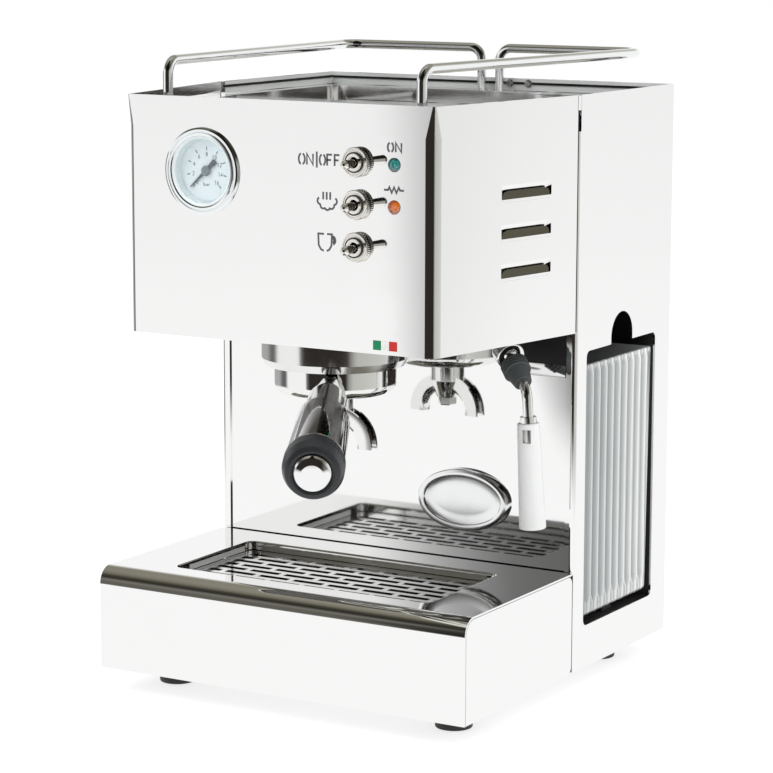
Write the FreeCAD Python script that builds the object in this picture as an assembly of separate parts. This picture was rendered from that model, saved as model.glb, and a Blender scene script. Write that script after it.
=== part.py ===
import FreeCAD, Part
import os
from math import cos, pi, radians, sin, sqrt, tan

Vector = FreeCAD.Vector

# One-group espresso machine in polished steel sheet, in millimetres.
# It is laid out with x = 0 in the middle, y = 0 at the front of the base and z = 0 under the sheet body,
# and moved at the end so that the origin is under the middle of the whole machine, on the table.

# Body: base in front, tall housing behind, head reaching forward over the base
BODY_W = 250.0
BODY_H = 344.5
BASE_D = 132.0
BASE_H = 61.4
HOUSING_D = 131.0
HEAD_H = 138.9
HEAD_FRONT_W = 205.0
HEAD_SETBACK = 3.0
SHEET = 1.2
JOINT_GAP = 1.0
FIT_GAP = 0.2
EDGE_GAP = 0.3

# Base sheet metal and its drip recess
LIP_BEND_R = 10.0
SIDE_CORNER_R = 5.0
FLOOR_T = 1.5
RECESS_W = 175.0
RECESS_D = 83.0
RECESS_R = 5.0
RECESS_LIP = 5.0
RECESS_EDGE_R = 1.0

# Drip tray and grid
TRAY_GAP = 0.5
PAN_T = 1.0
PAN_R = 4.0
RIM_W = 5.0
RIM_BORDER = 3.4
GRID_T = 2.0
GRID_SINK = 5.5
GRID_GAP = 0.4
GRID_R = 2.0
GRID_ROWS = 8
GRID_SLOT_W = 3.6
GRID_SLOT_L = 30.0
GRID_BAR = 5.0
GRID_MARGIN = 2.0

# Housing sheet, tank window, rear vents
FLANGE_W = 6.0
HOUSING_FOLD_R = 3.0
SPLASH_RISE = 20.0
WINDOW_SETBACK = 14.0
WINDOW_W = 94.0
WINDOW_Z0 = 26.0
WINDOW_Z1 = 193.0
WINDOW_R = 4.0
NOTCH_W = 29.0
NOTCH_H = 18.5
REAR_VENT_COUNT = 9
REAR_VENT_W = 4.0
REAR_VENT_L = 40.0
REAR_VENT_PITCH = 12.0
REAR_VENT_DROP = 59.5

# Bare oval badge on the splash panel
BADGE_X = 50.5
BADGE_RISE = 36.6
BADGE_W = 61.0
BADGE_H = 38.0
BADGE_T = 6.0
BADGE_BEVEL = 3.4
BADGE_RIM = 2.0
BADGE_SINK = 0.8

# Head sheet and its side louvres
HEAD_CORNER_R = 7.0
HEAD_TOP_CORNER_R = 1.6
HEAD_CORNER_BLEND = 18.0
UNDER_RISE = 2.0
LOUVRE_COUNT = 3
LOUVRE_L = 46.0
LOUVRE_H = 10.0
LOUVRE_PITCH = 22.3
LOUVRE_DROP = 47.2
LOUVRE_BACK = 48.0
LOUVRE_DEPTH = 5.0
LOUVRE_R = 3.0

# Cup tray and rails on top
TRAY_LEDGE_DEPTH = 8.0
TRAY_DEPTH = 13.0
TRAY_LEDGE_W = 9.0
TRAY_CORNER_R = 10.0
TRAY_SLOT_COUNT = 5
TRAY_SLOT_W = 6.0
TRAY_SLOT_L = 70.0
TRAY_SLOT_PITCH = 34.0
TRAY_SCREW_R = 2.6
TRAY_SCREW_PROUD = 1.6
TRAY_SCREW_DROP = 3.2
TRAY_SCREW_X = 16.8
TRAY_SCREW_PITCH = 13.0
RAIL_R = 3.0
RAIL_RISE = 19.0
RAIL_FRONT_X = 85.0
RAIL_FRONT_INSET = 16.0
RAIL_SIDE_INSET = 19.0
RAIL_REAR_INSET = 8.5
RAIL_END_X = 6.4
RAIL_BEND_R = 8.0
RAIL_CORNER_R = 11.0

# Feet
FOOT_H = 14.0
FOOT_TOP_R = 12.6
FOOT_R = 10.8
FOOT_EDGE_R = 2.0
FOOT_SIDE_INSET = 28.6
FOOT_INSET = 39.3

# Pressure gauge in the head front
GAUGE_X = -50.4
GAUGE_DROP = 42.4
GAUGE_CASE_R = 21.8
GAUGE_CASE_L = 28.0
GAUGE_POCKET_R = 20.8
GAUGE_POCKET_DEPTH = 5.2
BEZEL_R = 26.0
BEZEL_FOOT_R = 24.6
BEZEL_FOOT_H = 1.3
BEZEL_CREST_R = 25.0
BEZEL_GROOVE_R = 22.4
BEZEL_GROOVE_PROUD = 2.2
BEZEL_INNER_R = 20.4
BEZEL_BORE_R = 17.4
BEZEL_BORE_PROUD = 1.9
BEZEL_PROUD = 3.0
BEZEL_ROUND = 0.5
GLASS_R = 21.4
GLASS_T = 1.4
DIAL_T = 0.8
NEEDLE_L = 14.5
NEEDLE_TAIL = 5.0
NEEDLE_W = 1.3
NEEDLE_T = 0.6
NEEDLE_HUB_R = 2.4
NEEDLE_HUB_T = 1.2
NEEDLE_SPINDLE_R = 0.9
NEEDLE_SPINDLE_L = 7.0
NEEDLE_LIFT = 0.6
NEEDLE_REST_DEG = 222.0
RUN_CLEAR = 0.08

# Toggle switches and lamps
SWITCH_X = 53.4
SWITCH_DROP = 32.2
SWITCH_PITCH = 23.7
SWITCH_BODY_W = 28.0
SWITCH_BODY_H = 13.0
SWITCH_BODY_D = 22.0
BUSH_R = 5.8
BUSH_PROUD = 4.6
NUT_R = 9.1
NUT_T = 2.2
NUT_NECK_R = 6.8
NUT_NECK_T = 4.1
NUT_CHAMFER = 0.5
LEVER_BALL_R = 3.0
LEVER_PIVOT_PROUD = 2.0
LEVER_L = 21.8
LEVER_ROOT_R = 1.6
LEVER_TIP_R = 2.5
LEVER_POINT_R = 1.0
LEVER_POINT_L = 4.5
LEVER_ROUND = 0.6
LEVER_SLOT_R = 3.5
LEVER_PIN_R = 1.0
LEVER_PIN_L = 9.0
LEVER_REST_DEG = 12.5
MOVE_CLEAR = 0.3
LAMP_X = 76.8
LAMP_POWER_DROP = 32.8
LAMP_HEAT_DROP = 56.2
LAMP_R = 4.2
LAMP_PROUD = 2.4
LAMP_BODY_R = 3.7
LAMP_BODY_L = 18.0

# Brewing group: bell, bayonet lips, gasket and screen, on the middle of the base
BELL_R = 43.5
BELL_DROP = 19.1
BELL_TAPER = 4.5
BELL_EDGE_R = 41.0
BELL_RISE = 8.4
BELL_ROOF_T = 10.0
BELL_SHOULDER = 3.0
LIP_RISE = 3.5
LIP_T = 3.0
LIP_SWEEP = 90.0
LUG_SWEEP = 44.0
LUG_T = 3.2
LUG_REACH = 2.4
BOWL_CLEAR = 0.6
LUG_CLEAR = 0.4
TURN_DEG = 60.0
GASKET_R0 = 29.5
GASKET_R1 = 37.5
GASKET_T = 6.7
SCREEN_R = 28.8
SCREEN_T = 0.9
SCREEN_H = 6.0
SCREEN_SCREW_R = 2.4
SCREEN_SCREW_L = 12.0
SCREEN_HEAD_R = 4.6
SCREEN_HEAD_T = 2.2

# Portafilter bowl, basket and double spout
BOWL_R = 36.0
BOWL_WALL = 4.5
BOWL_FLOOR_T = 5.0
BOWL_DROP = 16.5
BOWL_EDGE_R = 6.0
OUTLET_R = 7.0
OUTLET_BORE_R = 4.0
OUTLET_L = 10.0
BASKET_R = 30.0
BASKET_T = 0.7
BASKET_RIM_R = 35.0
BASKET_FLOOR_GAP = 2.0
BASKET_EDGE_R = 3.0
SPRING_WIRE_R = 0.5
SPRING_DROP = 8.3
SPOUT_HUB_R = 10.5
SPOUT_HUB_SKIRT = 12.0
SPOUT_HUB_DROP = 23.0
SPOUT_HUB_END_R = 6.5
SPOUT_PORT_R = 1.8
SPOUT_ARC_X = 2.5
SPOUT_ARC_DROP = 31.5
SPOUT_ARC_R0 = 10.3
SPOUT_ARC_R1 = 21.0
SPOUT_DROP = 33.0
SPOUT_W = 9.0
SPOUT_GROOVE_W = 5.0
SPOUT_GROOVE_DEPTH = 5.5
SPOUT_NUT_R = 6.0
SPOUT_NUT_T = 5.0

# Portafilter handle, along its own drooping axis
HANDLE_AZ = 27.7
HANDLE_DROOP = 9.8
HANDLE_RISE = 16.3
NECK_R = 6.4
NECK_START = 33.5
COLLAR_START = 45.5
COLLAR_R = 7.7
COLLAR_T = 5.0
STUD_R = 5.0
STUD_L = 36.0
GRIP_END = 164.0
GRIP_NECK_R = 9.0
GRIP_CHAMFER = 0.8
GRIP_WAIST = 68.0
GRIP_WAIST_R = 11.4
GRIP_R = 13.0
GRIP_STEP = 103.0
GRIP_STEP_RISE = 0.4
GRIP_FLARE_R = 16.2
RING_R = 16.9
RING_END = 181.0
RING_FACE_R = 10.8
CAP_R = 10.4
CAP_SEAT = 178.0
CAP_END = 184.5
CAP_STEM_R = 5.0
CAP_STEM_L = 24.0

# Steam wand on its ball joint, with grip, tip and froth sleeve
BALL_INSET = 34.4
BALL_BACK = 19.4
BALL_DROP = 12.1
BALL_R = 5.6
WAND_AZ = 52.0
WAND_DROOP = 34.0
WAND_REACH = 32.0
WAND_BEND_R = 12.0
WAND_R = 3.1
WAND_LEAN = 3.0
WAND_LEAN_AZ = 120.6
WAND_DROP = 36.0
TILT_DEG = 25.0
SEAT_R = 7.0
SEAT_T = 5.0
SEAT_BORE_R = 2.5
SOCKET_R = 8.6
SOCKET_BACK = 9.0
SOCKET_FRONT = 4.2
SOCKET_LIP_R = 5.3
SOCKET_LIP_START = 2.4
SOCKET_STEM_R = 5.5
SOCKET_FLANGE_R = 8.0
SOCKET_FLANGE_T = 3.0
GRIP_START = 8.5
GRIP_RIB_R = 8.2
GRIP_GROOVE_R = 7.4
GRIP_RIBS = 4
GRIP_RIB_PITCH = 2.0
GRIP_END_R0 = 7.2
GRIP_END_R1 = 5.3
GRIP_END_L = 9.0
TIP_COLLAR_R = 4.8
TIP_COLLAR_T = 3.4
TIP_R = 3.9
TIP_L = 24.0
TIP_DROP = 15.3
SLEEVE_L = 62.6
SLEEVE_TOP_R = 6.5
SLEEVE_END_R = 7.9
SLEEVE_BORE_R = 5.6
SLEEVE_GRIP_L = 28.0
SLEEVE_SLOT_W = 5.2
SLEEVE_SLOT_H = 8.0
SLEEVE_SLOT_DROP = 3.3
SLEEVE_SLOT_AZ = 18.0
TUBE_GAP = 0.08

# Water tank in its bay, drawn out to the right
TANK_CLEAR = 2.0
TANK_WALL = 2.0
TANK_TOP = 184.0
TANK_RECESS = 1.6
TANK_CORNER_R = 6.0
TANK_RIB_COUNT = 9
TANK_RIB_PITCH = 9.2
TANK_RIB_R = 1.2
TANK_RIB_END = 10.0
TANK_SPIGOT_R = 6.0
TANK_SPIGOT_L = 9.0
TANK_SPIGOT_BORE_R = 3.0
TANK_SPIGOT_Z = 40.0
BAY_WALL = 2.0
BAY_HEAD_ROOM = 4.0
BAY_GAP = 0.5
BAY_LEG_W = 5.0
COUPLING_R = 9.0
COUPLING_REACH = 8.0
COUPLING_BARB_R = 4.5
COUPLING_BARB_L = 7.0
HOSE_R = 4.5
HOSE_BORE_R = 3.0
HOSE_BEND_R = 12.0

# Pump, heater and pipework inside
PUMP_W = 44.0
PUMP_GAP = 6.1
PUMP_BOTTOM = 60.0
PUMP_H = 52.0
PUMP_END_R = 9.0
PUMP_END_L = 22.0
PUMP_NIPPLE_R = 4.5
PUMP_NIPPLE_L = 8.0
PUMP_MOUNT_R = 8.0
PUMP_MOUNT_L = 6.8
PUMP_MOUNT_PITCH = 26.0
PIPE_R = 2.2
PIPE_BEND_R = 12.0
BLOCK_W = 110.0
BLOCK_D = 74.0
BLOCK_H = 40.0
BLOCK_EDGE_R = 8.0
BLOCK_FIN_COUNT = 6
BLOCK_FIN_W = 4.0
BLOCK_FIN_DEPTH = 5.0
BLOCK_LEG_R = 6.0
BLOCK_LEG_X = 47.0
BLOCK_LEG_Y = 28.0
BLOCK_NIPPLE_R = 5.0
BLOCK_NIPPLE_L = 8.0
BLOCK_PORT_RISE = 26.0
BOLT_R = 2.5
BOLT_HEAD_R = 4.2
BOLT_HEAD_T = 5.0
BOLT_PCD_R = 24.0
BOLT_BITE = 8.0
THERMOSTAT_R = 8.0
THERMOSTAT_T = 7.0
THERMOSTAT_X = 8.5
THERMOSTAT_TAB = 6.0
VALVE_W = 24.0
VALVE_BODY_H = 20.0
VALVE_COIL_R = 13.0
VALVE_COIL_H = 26.0
GAUGE_PIPE_X_OFFSET = 4.0

# Mains inlet at the lower rear
INLET_INSET = 45.0
INLET_Z = 34.0
INLET_W = 31.0
INLET_H = 24.0
INLET_FLANGE_T = 2.0
INLET_BODY_W = 27.0
INLET_BODY_H = 20.0
INLET_BODY_D = 26.0
INLET_CUP_W = 23.0
INLET_CUP_H = 16.0
INLET_CUP_D = 17.0
INLET_PIN_W = 2.0
INLET_PIN_H = 4.0
INLET_PIN_L = 10.0
INLET_PIN_PITCH = 7.0

# Places worked out from the sizes above
HALF_W = BODY_W / 2
BODY_BACK = BASE_D + HOUSING_D
GROUP_Y = BASE_D / 2
HEAD_UNDER = BODY_H - HEAD_H
TAPER = (BODY_W - HEAD_FRONT_W) / 2 / (BASE_D - HEAD_SETBACK)
SLANT = sqrt(1 + TAPER ** 2)
HEAD_BACK = BASE_D - JOINT_GAP
PLATE_Z = HEAD_UNDER + UNDER_RISE
PLATE_TOP = PLATE_Z + SHEET
LEDGE_Z = BODY_H - TRAY_LEDGE_DEPTH
RIM_TOP = BASE_H - GRID_SINK - GRID_T
GRID_INSET = TRAY_GAP + RIM_BORDER + GRID_GAP
LOUVRE_TOP_Z = BODY_H - LOUVRE_DROP
LOUVRE_Y = BASE_D - LOUVRE_BACK
REAR_VENT_Z = BODY_H - REAR_VENT_DROP
RAIL_FRONT_Y = HEAD_SETBACK + RAIL_FRONT_INSET
RAIL_REAR_X = HALF_W - RAIL_SIDE_INSET
FOOT_X = HALF_W - FOOT_SIDE_INSET
INLET_X = INLET_INSET - HALF_W
BADGE_Z = BASE_H + BADGE_RISE
GAUGE_Z = BODY_H - GAUGE_DROP
SWITCH_TOP_Z = BODY_H - SWITCH_DROP
LAMP_POWER_Z = BODY_H - LAMP_POWER_DROP
LAMP_HEAT_Z = BODY_H - LAMP_HEAT_DROP
BELL_BOTTOM = HEAD_UNDER - BELL_DROP
BELL_TOP = HEAD_UNDER + BELL_RISE
BELL_CEILING = BELL_TOP - BELL_ROOF_T
LIP_TOP = BELL_BOTTOM + LIP_RISE
LIP_BOTTOM = LIP_TOP - LIP_T
BOWL_BOTTOM = BELL_BOTTOM - BOWL_DROP
HANDLE_Z0 = BOWL_BOTTOM + HANDLE_RISE
SPOUT_ARC_Z = BOWL_BOTTOM - SPOUT_ARC_DROP
SPOUT_END_Z = BOWL_BOTTOM - SPOUT_DROP
SPOUT_HUB_Z = BOWL_BOTTOM - SPOUT_HUB_DROP
BALL_X = HALF_W - BALL_INSET
BALL_Y = BASE_D - BALL_BACK
BALL_Z = HEAD_UNDER - BALL_DROP
LUG_BOTTOM = LIP_TOP + MOVE_CLEAR
LUG_R = BOWL_R + LUG_REACH
BELL_BORE_R = LUG_R + LUG_CLEAR
LIP_R = BOWL_R + BOWL_CLEAR
GASKET_Z = BELL_CEILING - GASKET_T
BASKET_RIM_TOP = GASKET_Z - MOVE_CLEAR
BOWL_TOP = BASKET_RIM_TOP - BASKET_T
BOWL_BORE_R = BOWL_R - BOWL_WALL
SPRING_Z = BOWL_TOP - SPRING_DROP
WINDOW_Y0 = BASE_D + WINDOW_SETBACK
WINDOW_Y1 = WINDOW_Y0 + WINDOW_W
WINDOW_MID_Y = (WINDOW_Y0 + WINDOW_Y1) / 2
PUMP_X = PUMP_W / 2 + PUMP_MOUNT_L + SHEET - HALF_W
BAY_BACK = PUMP_X + PUMP_W / 2 + PUMP_GAP + COUPLING_BARB_L
TANK_FACE = HALF_W - TANK_RECESS
TANK_BACK = BAY_BACK + BAY_WALL + TANK_SPIGOT_L + MOVE_CLEAR + 2 * TANK_CLEAR
TANK_L = TANK_FACE - TANK_BACK
TANK_Z0 = WINDOW_Z0 + 2 * TANK_CLEAR
BAY_Z0 = WINDOW_Z0 - BAY_GAP
BAY_Z1 = WINDOW_Z1 + NOTCH_H + BAY_HEAD_ROOM
BAY_Y0 = WINDOW_Y0 - BAY_WALL - BAY_GAP
BAY_Y1 = WINDOW_Y1 + BAY_WALL + BAY_GAP
BAY_MOUTH = HALF_W - SHEET
PANEL_BACK = HEAD_SETBACK + SHEET
BLOCK_Z = BELL_TOP
BLOCK_TOP = BLOCK_Z + BLOCK_H
BLOCK_PORT_Z = BLOCK_Z + BLOCK_PORT_RISE
UP = Vector(0, 0, 1)
FRONT = Vector(0, -1, 0)
THROUGH = 4 * SHEET


def block(x0, x1, y0, y1, z0, z1):
    """Box between two corners."""
    return Part.makeBox(x1 - x0, y1 - y0, z1 - z0, Vector(x0, y0, z0))


def rod(start, end, radius):
    """Round bar between two points."""
    axis = end - start
    return Part.makeCylinder(radius, axis.Length, start, axis)


def outline(corners, radii):
    """Closed outline through the corners, each rounded by its own radius."""
    edges = []
    count = len(corners)
    starts = []
    ends = []
    mids = []
    for i, corner in enumerate(corners):
        back = (corners[i - 1] - corner).normalize()
        ahead = (corners[(i + 1) % count] - corner).normalize()
        half = back.getAngle(ahead) / 2
        starts.append(corner + back * (radii[i] / tan(half)))
        ends.append(corner + ahead * (radii[i] / tan(half)))
        mids.append(corner + (back + ahead).normalize() * (radii[i] / sin(half) - radii[i]))
    for i in range(count):
        if radii[i] > 0:
            edges.append(Part.Arc(starts[i], mids[i], ends[i]).toShape())
        edges.append(Part.LineSegment(ends[i], starts[(i + 1) % count]).toShape())
    return Part.Wire(edges)


def sheet_prism(corners, radii, sweep):
    """Solid pushed out of a flat rounded outline."""
    return Part.Face(outline(corners, radii)).extrude(sweep)


def rounded_box(x_mid, y_mid, width, depth, radius, z0, z1):
    """Upright box with rounded vertical edges."""
    x0, x1 = x_mid - width / 2, x_mid + width / 2
    y0, y1 = y_mid - depth / 2, y_mid + depth / 2
    corners = [Vector(x0, y0, z0), Vector(x1, y0, z0), Vector(x1, y1, z0), Vector(x0, y1, z0)]
    return sheet_prism(corners, [radius] * 4, Vector(0, 0, z1 - z0))


def turned(profile, base, axis):
    """Solid turned about an axis; the profile gives radius, distance along the axis and corner rounding."""
    corners = [Vector(r, 0, s) for r, s, _ in profile]
    face = Part.Face(outline(corners, [rounding for _, _, rounding in profile]))
    solid = face.revolve(Vector(0, 0, 0), UP, 360)
    solid.Placement = FreeCAD.Placement(base, FreeCAD.Rotation(UP, axis))
    return solid


def bent_rod(points, bend_r, radius):
    """Round bar along straight runs joined by bends."""
    edges = []
    start = points[0]
    for i in range(1, len(points) - 1):
        back = (points[i - 1] - points[i]).normalize()
        ahead = (points[i + 1] - points[i]).normalize()
        half = back.getAngle(ahead) / 2
        reach = bend_r[i - 1] / tan(half)
        enter = points[i] + back * reach
        leave = points[i] + ahead * reach
        middle = points[i] + (back + ahead).normalize() * (bend_r[i - 1] / sin(half) - bend_r[i - 1])
        edges.append(Part.LineSegment(start, enter).toShape())
        edges.append(Part.Arc(enter, middle, leave).toShape())
        start = leave
    edges.append(Part.LineSegment(start, points[-1]).toShape())
    ring = Part.Wire(Part.makeCircle(radius, points[0], points[1] - points[0]))
    return Part.Wire(edges).makePipeShell([ring], True, False)


def hole_y(x, z, radius):
    """Cutter for a hole through the head's front sheet."""
    return rod(Vector(x, HEAD_SETBACK - THROUGH, z), Vector(x, PANEL_BACK + THROUGH, z), radius)


def head_half(y, inset):
    """Half width of the tapered head at y, measured inset from its outer skin."""
    return HEAD_FRONT_W / 2 + (y - HEAD_SETBACK) * TAPER - inset * SLANT


def head_band(z, corner_r):
    """Plan outline of the head sheet at height z."""
    front = HEAD_SETBACK
    inner = HEAD_SETBACK + SHEET
    corners = [
        Vector(-head_half(HEAD_BACK, 0), HEAD_BACK, z),
        Vector(-head_half(front, 0), front, z),
        Vector(head_half(front, 0), front, z),
        Vector(head_half(HEAD_BACK, 0), HEAD_BACK, z),
        Vector(head_half(HEAD_BACK, SHEET), HEAD_BACK, z),
        Vector(head_half(inner, SHEET), inner, z),
        Vector(-head_half(inner, SHEET), inner, z),
        Vector(-head_half(HEAD_BACK, SHEET), HEAD_BACK, z),
    ]
    inner_r = corner_r - SHEET
    return outline(corners, [0, corner_r, corner_r, 0, 0, inner_r, inner_r, 0])


# Base
def base_wrap():
    """Front and top of the base: a sheet bent over the front edge, its recess edged by a turned-down lip."""
    back = BASE_D - JOINT_GAP
    corners = [
        Vector(-HALF_W, 0, 0),
        Vector(-HALF_W, 0, BASE_H),
        Vector(-HALF_W, back, BASE_H),
        Vector(-HALF_W, back, BASE_H - SHEET),
        Vector(-HALF_W, SHEET, BASE_H - SHEET),
        Vector(-HALF_W, SHEET, 0),
    ]
    radii = [0, LIP_BEND_R, 0, 0, LIP_BEND_R - SHEET, 0]
    wrap = sheet_prism(corners, radii, Vector(BODY_W, 0, 0))
    lip_z = BASE_H - RECESS_LIP
    lip = rounded_box(0, GROUP_Y, RECESS_W + 2 * SHEET, RECESS_D + 2 * SHEET, RECESS_R + SHEET,
                      lip_z, BASE_H - SHEET)
    well = rounded_box(0, GROUP_Y, RECESS_W, RECESS_D, RECESS_R, lip_z - SHEET, BASE_H + SHEET)
    wrap = wrap.fuse(lip).cut(well).removeSplitter()
    mouth = []
    for edge in wrap.Edges:
        box = edge.BoundBox
        at_top = abs(box.ZMin - BASE_H) < FIT_GAP and abs(box.ZMax - BASE_H) < FIT_GAP
        in_width = abs(box.Center.x) < RECESS_W / 2 + SHEET
        in_depth = abs(box.Center.y - GROUP_Y) < RECESS_D / 2 + SHEET
        if at_top and in_width and in_depth:
            mouth.append(edge)
    return wrap.makeFillet(RECESS_EDGE_R, mouth)


def base_side(side):
    """Side panel of the base, set under the bent sheet."""
    front = SHEET + EDGE_GAP
    top = BASE_H - SHEET - EDGE_GAP
    back = BASE_D - JOINT_GAP
    x = side * HALF_W
    corners = [Vector(x, front, 0), Vector(x, front, top), Vector(x, back, top), Vector(x, back, 0)]
    radii = [0, LIP_BEND_R - front, SIDE_CORNER_R, SIDE_CORNER_R]
    return sheet_prism(corners, radii, Vector(-side * SHEET, 0, 0))


def floor_plate():
    """Sheet floor under the base and the housing."""
    reach = HALF_W - SHEET
    fold = HOUSING_FOLD_R
    corners = [
        Vector(-reach, SHEET, 0),
        Vector(reach, SHEET, 0),
        Vector(reach, BODY_BACK - SHEET, 0),
        Vector(-reach, BODY_BACK - SHEET, 0),
    ]
    plate = sheet_prism(corners, [0, 0, fold, fold], Vector(0, 0, FLOOR_T))
    for side in (-1, 1):
        inner = side * (HALF_W - FLANGE_W - EDGE_GAP)
        slot_x = sorted((inner, side * HALF_W))
        plate = plate.cut(block(slot_x[0], slot_x[1], BASE_D - EDGE_GAP, BASE_D + fold, 0, FLOOR_T))
    return plate


def rubber_feet():
    """Four tapered rubber feet under the floor."""
    feet = []
    profile = [(0, 0, 0), (FOOT_TOP_R, 0, 0), (FOOT_R, FOOT_H, FOOT_EDGE_R), (0, FOOT_H, 0)]
    for x in (-FOOT_X, FOOT_X):
        for y in (FOOT_INSET, BODY_BACK - FOOT_INSET):
            feet.append(turned(profile, Vector(x, y, 0), Vector(0, 0, -1)))
    return Part.makeCompound(feet)


def drip_tray():
    """Lift-out pan on the floor plate; its rim carries the grid inside a raised border."""
    width = RECESS_W - 2 * TRAY_GAP
    depth = RECESS_D - 2 * TRAY_GAP
    top = RIM_TOP + GRID_T
    rim = rounded_box(0, GROUP_Y, width, depth, RECESS_R - TRAY_GAP, RIM_TOP - PAN_T, top)
    border = 2 * RIM_BORDER
    rebate = rounded_box(0, GROUP_Y, width - border, depth - border, GRID_R + GRID_GAP, RIM_TOP, top + PAN_T)
    pan_w = width - 2 * RIM_W
    pan_d = depth - 2 * RIM_W
    pan = rounded_box(0, GROUP_Y, pan_w, pan_d, PAN_R, FLOOR_T, RIM_TOP)
    hollow = rounded_box(0, GROUP_Y, pan_w - 2 * PAN_T, pan_d - 2 * PAN_T, PAN_R - PAN_T,
                         FLOOR_T + PAN_T, top)
    return rim.cut(rebate).fuse(pan).cut(hollow).removeSplitter()


def drip_grid():
    """Slotted grid in the tray's border, its slots staggered row by row."""
    width = RECESS_W - 2 * GRID_INSET
    depth = RECESS_D - 2 * GRID_INSET
    grid = rounded_box(0, GROUP_Y, width, depth, GRID_R, RIM_TOP, RIM_TOP + GRID_T)
    span = width - 2 * GRID_MARGIN
    pitch_y = (depth - 2 * GRID_MARGIN) / GRID_ROWS
    step = GRID_SLOT_L + GRID_BAR
    slots = []
    for row in range(GRID_ROWS):
        y = GROUP_Y - depth / 2 + GRID_MARGIN + (row + 0.5) * pitch_y
        x = -span / 2 - (row % 2) * step / 2
        while x < span / 2:
            x0 = max(x, -span / 2)
            x1 = min(x + GRID_SLOT_L, span / 2)
            if x1 - x0 > GRID_BAR:
                half = GRID_SLOT_W / 2
                slots.append(block(x0, x1, y - half, y + half, RIM_TOP, RIM_TOP + GRID_T))
            x += step
    return grid.cut(Part.makeCompound(slots))


# Housing
def rear_housing():
    """Wrapped sheet of the tall rear box: two sides, the back and two narrow front flanges."""
    y_mid = BASE_D + HOUSING_D / 2
    skin = rounded_box(0, y_mid, BODY_W, HOUSING_D, HOUSING_FOLD_R, 0, BODY_H)
    skin = skin.cut(rounded_box(0, y_mid, BODY_W - 2 * SHEET, HOUSING_D - 2 * SHEET, HOUSING_FOLD_R - SHEET,
                                0, BODY_H))
    gap = HALF_W - FLANGE_W
    skin = skin.cut(block(-gap, gap, BASE_D - SHEET, BASE_D + 2 * SHEET, 0, BODY_H))
    full = HALF_W + SHEET
    flange_top = LEDGE_Z - TRAY_DEPTH
    skin = skin.cut(block(-full, full, BASE_D - SHEET, BASE_D + HOUSING_FOLD_R, flange_top, BODY_H + SHEET))
    skin = skin.cut(tank_window())
    first = -(REAR_VENT_COUNT - 1) / 2 * REAR_VENT_PITCH
    for i in range(REAR_VENT_COUNT):
        skin = skin.cut(rear_vent(first + i * REAR_VENT_PITCH))
    half_w = INLET_BODY_W / 2 + FIT_GAP
    half_h = INLET_BODY_H / 2 + FIT_GAP
    return skin.cut(block(INLET_X - half_w, INLET_X + half_w, BODY_BACK - THROUGH, BODY_BACK + THROUGH,
                          INLET_Z - half_h, INLET_Z + half_h))


def rear_vent(x):
    """Cutter for one upright vent slot with round ends."""
    y = BODY_BACK - THROUGH
    x0, x1 = x - REAR_VENT_W / 2, x + REAR_VENT_W / 2
    z0, z1 = REAR_VENT_Z - REAR_VENT_L / 2, REAR_VENT_Z + REAR_VENT_L / 2
    corners = [Vector(x0, y, z0), Vector(x1, y, z0), Vector(x1, y, z1), Vector(x0, y, z1)]
    return sheet_prism(corners, [REAR_VENT_W * 0.49] * 4, Vector(0, 2 * THROUGH, 0))


def tank_window():
    """Cutter for the tank window and the finger notch above it."""
    x = HALF_W - THROUGH
    corners = [
        Vector(x, WINDOW_Y0, WINDOW_Z0),
        Vector(x, WINDOW_Y1, WINDOW_Z0),
        Vector(x, WINDOW_Y1, WINDOW_Z1),
        Vector(x, WINDOW_Y0, WINDOW_Z1),
    ]
    pane = sheet_prism(corners, [WINDOW_R] * 4, Vector(2 * THROUGH, 0, 0))
    arch_r = NOTCH_W / 2
    arch_z = WINDOW_Z1 + NOTCH_H - arch_r
    arch = rod(Vector(x, WINDOW_MID_Y, arch_z), Vector(x + 2 * THROUGH, WINDOW_MID_Y, arch_z), arch_r)
    throat = block(x, x + 2 * THROUGH, WINDOW_MID_Y - arch_r, WINDOW_MID_Y + arch_r,
                   WINDOW_Z1 - WINDOW_R, arch_z)
    return pane.fuse(arch).fuse(throat)


def splash_panel():
    """Mirror panel behind the group, held behind the housing flanges."""
    reach = HALF_W - HOUSING_FOLD_R - EDGE_GAP
    return block(-reach, reach, BASE_D + SHEET, BASE_D + 2 * SHEET, FLOOR_T, HEAD_UNDER + SPLASH_RISE)


def badge_oval(proud, inset):
    """Oval outline of the badge, proud of the splash panel."""
    middle = Vector(BADGE_X, BASE_D + SHEET - proud, BADGE_Z)
    wide = middle + Vector(BADGE_W / 2 - inset, 0, 0)
    high = middle + UP * (BADGE_H / 2 - inset)
    return Part.Wire(Part.Ellipse(wide, high, middle).toShape())


def badge():
    """Cast oval badge with a bevelled flank and a raised rim round its bare face."""
    body = Part.makeLoft([badge_oval(0, 0), badge_oval(BADGE_T, BADGE_BEVEL)], True, True)
    face = Part.Face(badge_oval(BADGE_T, BADGE_BEVEL + BADGE_RIM))
    return body.cut(face.extrude(Vector(0, BADGE_SINK, 0)))


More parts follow.
